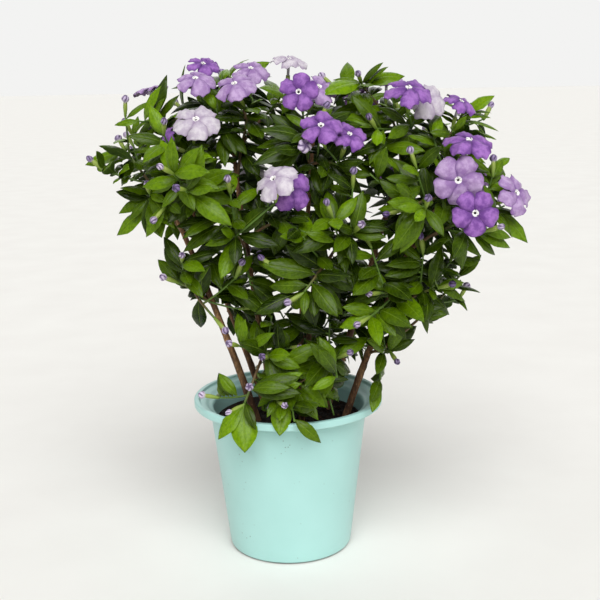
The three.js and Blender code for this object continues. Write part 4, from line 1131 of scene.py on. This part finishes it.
def make_bloom(name, bloom, finish, chance):
    """A bloom's five lobes and its tube, in one piece."""
    across = around(bloom["look"], 0)
    bloom["frame"] = np.array([across, np.cross(bloom["look"], across), bloom["look"]])
    half = LOBE["half"][bloom["age"]]
    parts = []
    for k, tip in enumerate(bloom["lobes"]):
        turn = bloom["start"] + k * LOBE_SPAN + chance.uniform(-LOBE_TURN, LOBE_TURN)
        parts.append(lobe_points(bloom, turn, tip, half * chance.uniform(*LOBE_WIDTHS), chance))
    lobes, radial, side, edge = (np.concatenate([part[i] for part in parts]) for i in range(4))
    shape = (LOBES, LOBE_STATIONS, LOBE_RING)
    margins = np.zeros(LOBE_RING)
    margins[0], margins[LOBE_EDGE - 1] = 1, 2
    share, radii = TUBE_PROFILE.T
    tube_shape = (1, len(share), TUBE_SIDES)
    line = np.array([bloom["end"], bloom["neck"], bloom["at"] - bloom["look"] * THROAT["sink"]])
    centres = np.array([bezier(line, t) for t in share])[None]
    ahead = np.array([bezier(line, t + 0.01) - bezier(line, t - 0.01) for t in share])
    body = carry(centres, unit(ahead)[None], radii[None, :, None], TUBE_SIDES)
    tube = lay(bezier(line, 0), body, bezier(line, THROAT["end"]))
    inside = (np.arange(len(share)) > EYE_RIM)[:, None]
    # How deep a point lies inside the tube's throat, which the finish paints dark as shade.
    deep = marks(tube_shape, inside * (THROAT["wide"] - radii[:, None]), 0, THROAT["deepest"])
    none = np.zeros(len(tube))
    values = {
        "radial": np.append(radial, none + THROAT["radial"]),
        "across": np.append(side, none),
        "edge": np.append(edge, none),
        "throat": np.append(0 * radial, deep),
        "tube": np.append(0 * radial, marks(tube_shape, 1 - inside, 1, 0)),
    }
    faces = join_faces(skin_faces(*shape), skin_faces(*tube_shape), len(lobes))
    sharp = np.append(marks(shape, margins, 0, 0), none)
    return make_piece(name, np.concatenate([lobes, tube]), faces, finish, values, sharp=sharp)


# Stems: bark over a curve, with swollen joints and low uneven ridges
STEM_STATIONS = 72
STEM_SIDES = 18
STEM_JOINTS = {"swell": 0.1, "spacing": 9}
STEM_RIDGES = (0.05, 0.03)
STEM_LUMPS = 0.025


def make_stem(name, path, finish, chance):
    """A woody stem. Its radius swells at each joint, where a sine of the length along it is high. It
    has three low ridges that wander round it and five lower ones that turn round it, and small
    lumps where two sines cross."""
    share = np.linspace(0, 1, STEM_STATIONS)
    centres = np.array([path.curve(t) for t in share])[None]
    along = unit(np.gradient(centres, axis=1))
    angle = turns(STEM_SIDES)
    way = share[:, None] * path.length
    a, b, c, d = chance.uniform(0, 2 * math.pi, 4)
    joints = STEM_JOINTS["swell"] * np.maximum(0, np.sin(way / STEM_JOINTS["spacing"] + a)) ** 6
    ridges = STEM_RIDGES[0] * np.cos(3 * angle + 1.3 * np.sin(way / 31 + b))
    ridges = ridges + STEM_RIDGES[1] * np.cos(5 * angle + way / 14 + c)
    lumps = STEM_LUMPS * np.sin(way / 2.3 + 2 * angle + d) * np.sin(way / 5.1 - 3 * angle + a)
    radii = path.radius_at(share)[:, None] * (1 + joints + ridges + lumps)
    body = carry(centres, along, radii[None], STEM_SIDES)
    points = lay(centres[:, :1, None], body, centres[:, -1:, None] + along[:, -1:, None])
    shape = (1, STEM_STATIONS, STEM_SIDES)
    values = {"along": marks(shape, share[:, None], 0, 1)}
    return make_piece(name, points, skin_faces(*shape), finish, values)


# Pot: a profile turned round the upright axis
POT_SEGMENTS = 144
CORNER = 50


def turned(profile, sides):
    """A profile of (radius, height) turned round the upright axis, closed at both ends by its
    first and last points, which lie on the axis."""
    profile = np.array(profile, float)
    centres = (profile[:, 1:] * UP)[None]
    along = np.tile(UP, (1, len(profile), 1))
    body = carry(centres, along, profile[None, :, :1], sides)[:, 1:-1]
    points = lay(centres[:, :1, None], body, centres[:, -1:, None])
    return points, skin_faces(1, len(profile) - 2, sides)


def arc(middle, radius, start, end, steps):
    """Points on an arc in the profile's plane, between two angles in degrees."""
    angles = np.radians(np.linspace(start, end, steps + 1))
    return [(middle[0] + radius * math.cos(a), middle[1] + radius * math.sin(a)) for a in angles]


def pot_profile():
    """The outer wall up from the foot, the rolled lip, and the inner wall down to the floor."""
    foot, body, rim, top = FOOT_RADIUS, BODY_TOP_RADIUS, RIM_RADIUS, POT_HEIGHT
    lip = top - LIP_DEPTH
    slope = math.degrees(math.atan2(lip - 6, body - foot - 0.4))
    under = [
        (0, 0), (foot - 12, 0), (foot - 5.4, 0), (foot - 5, 0.2), (foot - 4.6, 0.9), (foot - 3.4, 1.1),
        *arc((foot - 1.9, 3.1), 2, -90, slope - 90, 5),
    ]
    wall = [(foot + 0.2 + (body - foot) * t, 3 + (lip - 9) * t) for t in np.linspace(0.08, 1, 14)]
    lip_under = [
        *arc((body + 3.4, lip - 3.8), 2.8, 176, 92, 5),
        (rim - 9, lip - 0.8), (rim - 5, lip - 0.2), (rim - 3.2, lip),
        *arc((rim - 1.4, lip + 1.4), 1.4, -96, 0, 5),
    ]
    lip_edge = [
        (rim, lip + 2.2), (rim, top - 2.4),
        *arc((rim - 1.6, top - 1.6), 1.6, 3, 92, 5),
        (rim - 2.6, top), (rim - 3.4, top - 0.1),
        *arc((rim - 3.9, top - 1), 0.9, 80, 170, 4),
    ]
    lip_inside = [
        (rim - 5.1, top - 2.2), (rim - 5.9, top - 2.7), (rim - 7, top - 2.9), (rim - 10, top - 3.6),
        (rim - 12, lip + 2), (body + 1.8, lip + 0.6),
        *arc((body + 1.2, lip - 4.4), 4.2, 112, 178, 5),
    ]
    lining = [
        (body - WALL - (body - foot) * t, lip - 6 - (lip - 14) * t) for t in np.linspace(0.06, 0.96, 8)
    ]
    floor = [
        *arc((foot - WALL - 4, POT_FLOOR + 4), 4, 0, -90, 4),
        (foot - 14, POT_FLOOR), (0, POT_FLOOR),
    ]
    return [*under, *wall, *lip_under, *lip_edge, *lip_inside, *lining, *floor]


def cut_drains(pot):
    """Takes the drain holes, which are plain cylinders, out of the pot's floor."""
    low, high = -POT_FLOOR, 2 * POT_FLOOR
    profile = [(0, low), (DRAIN["radius"], low), (DRAIN["radius"], high), (0, high)]
    hole, hole_faces = turned(profile, DRAIN["sides"])
    angle = turns(DRAIN["count"])
    centre = DRAIN["circle"] * np.column_stack([np.cos(angle), np.sin(angle), 0 * angle])
    shift = (np.arange(DRAIN["count"]) * len(hole))[:, None, None]
    faces = [(shift + group).reshape(-1, group.shape[1]) for group in hole_faces]
    points = (centre[:, None] + hole).reshape(-1, 3)
    holes = make_piece("drain_holes", points, faces, pot.data.materials[0])
    cut = pot.modifiers.new("drains", "BOOLEAN")
    cut.operation, cut.solver, cut.object = "DIFFERENCE", "EXACT", holes
    shaped = pot.evaluated_get(bpy.context.evaluated_depsgraph_get())
    pot.data = bpy.data.meshes.new_from_object(shaped)
    pot.modifiers.clear()
    pot.data.set_sharp_from_angle(angle=math.radians(CORNER))
    bpy.data.objects.remove(holes)
    return pot


# Soil: a heaped, crumbly top, with loose crumbs on it
SOIL_RADIUS = 68
SOIL_SEGMENTS = 128
SOIL_RINGS = 46
HEAP = {"middle": 2, "fall": 2.4}

# Unevenness, broad and fine: how many waves, their longest and shortest, and their height together
WAVES = 28
CRUMBLE = [(34, 5, 7), (6, 2.4, 1.7)]

CRUMBS = {"count": 420, "rings": 4, "sides": 7, "reach": 66, "sink": 0.4}
CRUMB_SIZE = {"least": 0.7, "more": 2.1, "lift": 0.25, "low": 0.6}
CRUMB_STRETCH = (0.55, 1.4)
CRUMB_KNOBS = (0.75, 1.2)


def crumble(x, y, chance, longest, shortest):
    """Uneven ground: a sum of cosine waves that run all ways across it, the short ones lower."""
    heading = chance.uniform(0, 2 * math.pi, WAVES)
    size = np.geomspace(longest, shortest, WAVES)
    start = chance.uniform(0, 2 * math.pi, WAVES)
    way = (x[..., None] * np.cos(heading) + y[..., None] * np.sin(heading)) * 2 * math.pi / size
    return (np.cos(way + start) * size).sum(-1) / size.sum()


def heap(out, middle):
    """The height of a smooth heap at a distance out, its middle this far above SOIL_TOP."""
    return SOIL_TOP + middle - HEAP["fall"] * (out / SOIL_RADIUS) ** 2


def make_soil(name, finish, chance):
    """The pot's fill: turned like the pot, with the crumbled waves added to its top."""
    base = POT_FLOOR + 0.5
    profile = [
        (0, base), (FOOT_RADIUS - WALL - 1.4, base),
        (68.6, SOIL_TOP - 7), (70.2, SOIL_TOP - 1.6), (69.4, SOIL_TOP - 0.7),
        *[(r, heap(r, HEAP["middle"])) for r in np.linspace(SOIL_RADIUS, 1.5, SOIL_RINGS)],
        (0, SOIL_TOP + HEAP["middle"]),
    ]
    points, faces = turned(profile, SOIL_SEGMENTS)
    x, y, z = points.T
    rough = sum(crumble(x, y, chance, long, short) * high for long, short, high in CRUMBLE)
    ease = np.clip((z - SOIL_TOP + 1.2) / 1.2, 0, 1) * np.clip((69.5 - np.hypot(x, y)) / 3, 0, 1)
    points[:, 2] = z + rough * ease
    return make_piece(name, points, faces, finish)


def make_crumbs(name, finish, chance):
    """Loose lumps of bark and earth on the soil: small balls pushed out of round."""
    shape = count, rings, sides = CRUMBS["count"], CRUMBS["rings"], CRUMBS["sides"]
    out = np.sqrt(chance.uniform(0, 1, count)) * CRUMBS["reach"]
    angle = chance.uniform(0, 2 * math.pi, count)
    size = CRUMB_SIZE["least"] + CRUMB_SIZE["more"] * chance.uniform(0, 1, count) ** 2.2
    height = heap(out, HEAP["middle"] - CRUMBS["sink"]) + CRUMB_SIZE["lift"] * size
    centre = np.column_stack([out * np.cos(angle), out * np.sin(angle), height])[:, None, None]
    tilt = np.linspace(0, math.pi, rings + 2)[1:-1, None]
    turn = turns(sides)
    ball = [np.sin(tilt) * np.cos(turn), np.sin(tilt) * np.sin(turn), -np.cos(tilt) + 0 * turn]
    stretch = chance.uniform(*CRUMB_STRETCH, (count, 1, 1, 3)) * [1, 1, CRUMB_SIZE["low"]]
    knobs = chance.uniform(*CRUMB_KNOBS, (*shape, 1))
    size = size[:, None, None, None]
    body = centre + np.stack(ball, -1) * stretch * knobs * size
    drop = (stretch * size)[..., 2:] * UP
    tint = chance.uniform(0, 1, (count, 1, 1))
    values = {"tint": marks(shape, tint, tint, tint)}
    points = lay(centre - drop, body, centre + drop)
    return make_piece(name, points, skin_faces(*shape), finish, values, smooth=False)


# Finishes
def paint(red, green, blue):
    """A colour given as it looks on screen, out of 255, turned into light for the shader."""
    seen = np.array([red, green, blue]) / 255
    light = np.where(seen <= 0.04045, seen / 12.92, ((seen + 0.055) / 1.055) ** 2.4)
    return (*light.tolist(), 1.0)


class Shade:
    """A value in a material. Sums, differences, products and sizes of values add Math nodes, and
    at() adds any other node: its type, its settings first, then its sockets."""

    def __init__(self, tree, socket=None):
        self.tree = tree
        self.socket = socket

    def at(self, kind, settings=None, sockets=None, output=0):
        """A new node's value. Shades are linked to its sockets, and numbers are set on them."""
        node = self.tree.nodes.new("ShaderNode" + kind)
        for key, value in (settings or {}).items():
            setattr(node, key, value)
        for key, value in (sockets or {}).items():
            if isinstance(value, Shade):
                self.tree.links.new(value.socket, node.inputs[key])
            else:
                node.inputs[key].default_value = value
        return Shade(self.tree, node.outputs[output])

    def maths(self, operation, *values):
        return self.at("Math", {"operation": operation}, dict(enumerate(values)))

    def __add__(self, other):
        return self.maths("ADD", self, other)

    def __sub__(self, other):
        return self.maths("SUBTRACT", self, other)

    def __rsub__(self, other):
        return self.maths("SUBTRACT", other, self)

    def __mul__(self, other):
        return self.maths("MULTIPLY", self, other)

    def __abs__(self):
        return self.maths("ABSOLUTE", self)

    __radd__ = __add__
    __rmul__ = __mul__

    def between(self, low, high):
        """0 below low and 1 above high, eased between them; the other way round if low is more."""
        settings = {"interpolation_type": "SMOOTHSTEP"}
        sockets = {"Value": self, "From Min": low, "From Max": high}
        return self.at("MapRange", settings, sockets)

    def lines(self, half):
        """1 halfway between this value's whole numbers, eased to 0 at a half width either side."""
        return abs(self.maths("FRACT", self) - 0.5).between(half, 0.0)

    def blend(self, *ends):
        """A colour between two, this value's share of the way. Each is a shade, or as in paint."""
        low, high = (end if isinstance(end, Shade) else paint(*end) for end in ends)
        settings = {"data_type": "RGBA", "clamp_factor": True}
        return self.at("Mix", settings, {0: self, 6: low, 7: high}, 2)


class Finish(Shade):
    """A material being made. Uniform values go straight onto the shader's sockets."""

    def __init__(self, name, **uniform):
        self.material = bpy.data.materials.new(name)
        self.material.use_nodes = True
        super().__init__(self.material.node_tree)
        self.shader = self.tree.nodes["Principled BSDF"]
        for key, value in uniform.items():
            socket = key.replace("_", " ").title().replace("Ior", "IOR")
            self.shader.inputs[socket].default_value = value

    def value(self, name):
        """A number that each point or face of the mesh carries."""
        return self.at("Attribute", {"attribute_name": name}, output=2)

    def place(self):
        """Object coordinates."""
        return self.at("TexCoord", output=3)

    def noise(self, scale, detail=2.0, vector=None, rough=0.5):
        vector = vector or self.place()
        sockets = {"Vector": vector, "Scale": scale, "Detail": detail, "Roughness": rough}
        return self.at("TexNoise", None, sockets)

    def dots(self, scale):
        """The distance from the nearest of many scattered points."""
        return self.at("TexVoronoi", None, {"Vector": self.place(), "Scale": scale})

    def stretch(self, x, y, z):
        """Object coordinates scaled along each axis."""
        return self.at("Mapping", None, {"Vector": self.place(), "Scale": (x, y, z)})

    def done(self, colour, roughness, height=None, depth=0.2, strength=1.0):
        """Links what varies: the colour, the roughness, and a bump from a height in millimetres."""
        self.tree.links.new(colour.socket, self.shader.inputs["Base Color"])
        self.tree.links.new(roughness.socket, self.shader.inputs["Roughness"])
        if height is not None:
            sockets = {"Strength": strength, "Distance": depth * MM, "Height": height}
            bump = self.at("Bump", None, sockets)
            self.tree.links.new(bump.socket, self.shader.inputs["Normal"])
        return self.material


def leaf_finish():
    """Glossy green, younger leaves lighter, with a pale rib, faint side veins, a duller back and
    painted shade towards the base.
    """
    f = Finish("leaf_green", specular_ior_level=0.2)
    along, across, tint, under = (f.value(n) for n in ("along", "across", "tint", "under"))
    side = abs(across)
    patch = f.noise(75, 3)
    # age follows the tint, which carries painted shade deep in the crown and painted light on the
    # outline leaves.
    age = tint * 0.8 + patch * 0.5 - 0.12
    colour = age.blend((4, 20, 0), (116, 152, 4))
    fleck = (age * 0.9).blend((3, 14, 0), (96, 134, 2))
    colour = f.noise(420, 2).between(0.35, 0.75).blend(colour, fleck)
    row = along * 9 - side * 2.6
    vein = row.lines(0.09) * side.between(1.0, 0.7)
    colour = (vein * 0.2).blend(colour, (120, 154, 44))
    rib = (side * (1.4 + along * 1.6)).between(0.12, 0.03)
    # Painted shade: darker towards the leaf's base, where the leaves crowd together.
    colour = (along.between(0.5, 0.0) * 0.4).blend(colour, (8, 26, 0))
    colour = (rib * 0.42).blend(colour, (136, 164, 56))
    colour = (side.between(0.93, 1.0) * 0.3).blend(colour, (120, 150, 44))
    stalk = along.between(0.1, 0.03)
    colour = (stalk * 0.8).blend(colour, (120, 156, 62))
    back = (vein * 0.3 + rib * 0.7).blend((50, 80, 12), (116, 142, 52))
    colour = (under * 0.5).blend(colour, back)
    roughness = 0.2 + patch * 0.16 + under * 0.36
    height = rib * -0.5 + vein * -0.45 + f.noise(300, 3) * 0.5
    return f.done(colour, roughness, height, 0.25, 0.7)


def shoot_finish():
    """Green young shoots that turn to brown wood at the root, and yellow-green calyces."""
    f = Finish("young_shoot")
    wood, cup = f.value("wood"), f.value("cup")
    grain = f.noise(260, 3, f.stretch(1, 1, 0.35))
    green = grain.blend((62, 94, 22), (98, 130, 44))
    brown = grain.blend((84, 62, 38), (134, 106, 70))
    colour = (wood + grain * 0.3).between(0.35, 0.85).blend(green, brown)
    yellow = (cup + grain * 0.3).between(0.3, 1.2).blend((104, 136, 40), (146, 164, 70))
    colour = cup.between(0.0, 0.3).blend(colour, yellow)
    return f.done(colour, 0.5 + grain * 0.15, grain, 0.2, 0.5)


def bud_finish():
    """Pale lilac folds with dark violet lines between them, green-white at the neck."""
    f = Finish("bud_lilac")
    along, fold, tint = f.value("along"), f.value("fold"), f.value("tint")
    speck = f.noise(500, 2)
    pale = tint.blend((214, 198, 224), (104, 78, 138))
    dark = tint.blend((74, 46, 100), (30, 18, 46))
    line = (fold + speck * 0.5).between(0.3, -0.5) * along.between(0.36, 0.56)
    colour = (line * 0.85).blend(pale, dark)
    colour = along.between(0.42, 0.2).blend(colour, (196, 200, 160))
    colour = (along.between(0.86, 0.98) * 0.85).blend(colour, dark)
    return f.done(colour, 0.34 + speck * 0.1, fold, 0.3, 0.5)


PETALS = {
    "violet": ((106, 56, 140), (160, 108, 188), (68, 30, 98)),
    "lilac": ((146, 110, 166), (190, 162, 204), (108, 74, 134)),
    "white": ((178, 164, 184), (214, 207, 214), (142, 122, 152)),
}


def petal_finish(age):
    """A petal's colour with paler clouds and fine darker veins that run out from the white eye.
    Painted light pales each lobe's middle, and painted shade darkens its edge, the clefts between
    lobes and the throat.
    """
    deep, pale, vein_colour = PETALS[age]
    f = Finish("petal_" + age, sheen_weight=0.15, specular_ior_level=0.3)
    radial, across, edge = f.value("radial"), f.value("across"), f.value("edge")
    throat, tube = f.value("throat"), f.value("tube")
    cloud = f.noise(190, 4, rough=0.6)
    # Painted light: each lobe is paler in its middle.
    middle = edge.between(0.95, 0.3) * radial.between(0.3, 0.62)
    colour = (cloud.between(0.34, 0.66) * 0.8 + middle * 0.4 - 0.1).blend(deep, pale)
    ray = across * 11 + (cloud - 0.5) * 3
    vein = ray.lines(0.16) * radial.between(0.2, 0.45)
    colour = (vein * 0.24).blend(colour, vein_colour)
    # Painted shade: darker along each lobe's edge and near the clefts between lobes.
    rim = edge.between(0.7, 1.0) * cloud.between(0.25, 0.6) * 0.75
    painted_cleft_shade = radial.between(0.5, 0.2) * edge.between(0.2, 0.9) * 0.8
    ring = radial.between(0.4, 0.16) * 0.45
    for mask in (rim, painted_cleft_shade, ring):
        colour = mask.blend(colour, vein_colour)
    eye = (radial + (cloud - 0.5) * 0.05).between(0.15, 0.11)
    colour = eye.blend(colour, (250, 248, 246))
    # Painted shade: dark down inside the throat.
    colour = throat.between(2.2, 2.7).blend(colour, (60, 44, 52))
    colour = (tube * 0.8).blend(colour, (206, 200, 214))
    roughness = 0.55 + cloud * 0.15
    return f.done(colour, roughness, vein * -0.5 + f.noise(700, 2) * 0.5, 0.25, 0.6)


def bark_finish():
    """Brown bark with tan streaks along it, dark cracks and a few pale dots."""
    f = Finish("bark_brown")
    streak = f.noise(150, 4, f.stretch(1, 1, 0.16), 0.6)
    fine = f.noise(520, 4, f.stretch(1, 1, 0.4), 0.6)
    colour = streak.between(0.36, 0.66).blend((94, 60, 38), (172, 128, 86))
    colour = (fine.between(0.62, 0.4) * 0.55).blend(colour, (48, 32, 22))
    dot = f.dots(260).between(0.16, 0.08)
    colour = (dot * 0.5).blend(colour, (184, 156, 122))
    return f.done(colour, 0.72 + fine * 0.2, streak * 0.6 + fine * 0.6 + dot * 0.3, 0.9, 0.9)


def soil_finish():
    """Nearly black potting soil, with browner crumbs."""
    f = Finish("potting_soil", specular_ior_level=0.25)
    lump = f.noise(320, 4, rough=0.65)
    fine = f.noise(1300, 3)
    brown = (lump + f.value("tint") * 0.35).between(0.45, 0.95)
    colour = brown.blend((22, 15, 12), (68, 48, 35))
    colour = (fine.between(0.64, 0.74) * 0.5).blend(colour, (120, 98, 76))
    return f.done(colour, 0.85 + fine * 0.12, lump + fine * 0.4, 1.0, 0.9)


def pot_finish():
    """Mint plastic: a soft mottle, dust and small specks of dirt, and painted shade at the foot, where
    the pot stands on the floor.
    """
    f = Finish("mint_plastic", coat_weight=0.1)
    mottle = f.noise(22, 3)
    fine = f.noise(900, 2)
    colour = mottle.blend((166, 213, 207), (179, 224, 219))
    height = f.at("SeparateXYZ", None, {0: f.place()}, 2)
    dirty = f.noise(34, 2).between(0.58, 0.7) * f.dots(190).between(0.17, 0.08)
    colour = (dirty * 0.55).blend(colour, (96, 110, 98))
    # foot is painted shade: a dark band along the bottom edge, where the pot meets the floor
    foot = (height + (mottle - 0.5) * 0.002).between(0.0026, 0.0008)
    colour = (foot * 0.8).blend(colour, (70, 92, 84))
    roughness = 0.34 + mottle * 0.12 + dirty * 0.3 + foot * 0.2
    return f.done(colour, roughness, fine * 0.5 + mottle, 0.15, 0.35)


def floor_finish():
    """A pale matt floor with a very faint unevenness."""
    f = Finish("pale_floor", specular_ior_level=0.0)
    cloud = f.noise(9, 4)
    colour = cloud.blend((231, 229, 225), (239, 238, 234))
    return f.done(colour, 0.6 + cloud * 0.1)


# The plant and its pot
chance = np.random.default_rng(11)
stem_paths, sprays = grow_plant()
fill_out(sprays)

bark, leaf_green, young_shoot, bud_lilac = bark_finish(), leaf_finish(), shoot_finish(), bud_finish()
for stem_name, path in zip(STEMS, stem_paths):
    mount(make_stem("bark_" + stem_name, path, bark, chance), "bark", "stem_" + stem_name)

for index, spray in enumerate(sprays):
    number = f"{index + 1:02d}"
    node = "spray_" + number
    mount(make_leaves("leaves_" + number, spray["leaves"], leaf_green, chance), "leaf", node)
    mount(make_shoots("shoots_" + number, spray, young_shoot, chance), "leaf", node)
    mount(make_buds("buds_" + number, spray["buds"], bud_lilac, chance), "lilac", node)

petals = {age: petal_finish(age) for age in PETALS}
for index, bloom in enumerate(room.faces):
    number = f"{index + 1:02d}"
    piece = make_bloom("petals_" + number, bloom, petals[bloom["age"]], chance)
    mount(piece, bloom["age"], "bloom_" + number)

shell = make_piece("pot_shell", *turned(pot_profile(), POT_SEGMENTS), pot_finish())
mount(cut_drains(shell), "pot", "pot")
soil = soil_finish()
mount(make_soil("soil_top", soil, chance), "soil", "soil")
mount(make_crumbs("soil_crumbs", soil, chance), "soil")

# The floor, the light and the camera
FLOOR_RINGS = (60000, 9000, 1500, 500, 150, 0)
FLOOR_DEPTH = 40
FLOOR_SIDES = 64
floor_profile = [(0, -FLOOR_DEPTH), (FLOOR_RINGS[0], -FLOOR_DEPTH), *[(r, 0) for r in FLOOR_RINGS]]
floor = make_piece("floor", *turned(floor_profile, FLOOR_SIDES), floor_finish(), smooth=False)


def aimed(place, aim, roll=0.0):
    """A matrix that puts a light or camera at a place, looks at a point and leans by an angle."""
    back = unit(place - aim)
    right = unit(np.cross(UP, back))
    up = np.cross(back, right)
    lean_right = right * math.cos(roll) - up * math.sin(roll)
    lean_up = right * math.sin(roll) + up * math.cos(roll)
    matrix = np.eye(4)
    matrix[:3] = np.column_stack([lean_right, lean_up, back, place * MM])
    return Matrix(matrix.tolist())


# Even light from far off: where each points from, how wide across the sky it is in degrees, and
# how strong
LIGHTS = {
    "key_light": ((80, -850, 880), 50, 3.1),
    "side_light": ((1000, -150, 420), 60, 0.35),
    "other_side_light": ((-1000, -300, 480), 60, 0.3),
    "back_light": ((0, 900, 700), 60, 0.85),
}
for light_name, (place, spread, strength) in LIGHTS.items():
    lamp = bpy.data.lights.new(light_name, "SUN")
    lamp.angle = math.radians(spread)
    lamp.energy = strength
    add_object(light_name, lamp).matrix_world = aimed(np.array(place, float), np.zeros(3))

# The sky that the camera sees is as bright as the floor. Its light on the plant is dimmer.
world = bpy.data.worlds.new("studio")
bpy.context.scene.world = world
world.use_nodes = True
sky = Shade(world.node_tree)
shown = sky.at("LightPath").blend((104, 104, 102), (243, 243, 242))
world.node_tree.links.new(shown.socket, world.node_tree.nodes["Background"].inputs["Color"])
bpy.context.scene.view_settings.view_transform = "Standard"

# The camera stands at VIEWPOINT: its angles in degrees, and its focal length as a share of its sensor
CAMERA = {"pitch": 12.19, "yaw": -0.06, "roll": 1.03, "focal": 1004 / 600}
SENSOR = 36
lens = bpy.data.cameras.new("camera")
lens.sensor_width = SENSOR
lens.lens = SENSOR * CAMERA["focal"]
camera = add_object("camera", lens)
pitch, yaw, roll = (math.radians(CAMERA[k]) for k in ("pitch", "yaw", "roll"))
ahead = np.array([math.sin(yaw) * math.cos(pitch), math.cos(yaw) * math.cos(pitch), -math.sin(pitch)])
eye = np.array(VIEWPOINT, float)
camera.matrix_world = aimed(eye, eye + ahead * 1000, roll)
bpy.context.scene.camera = camera
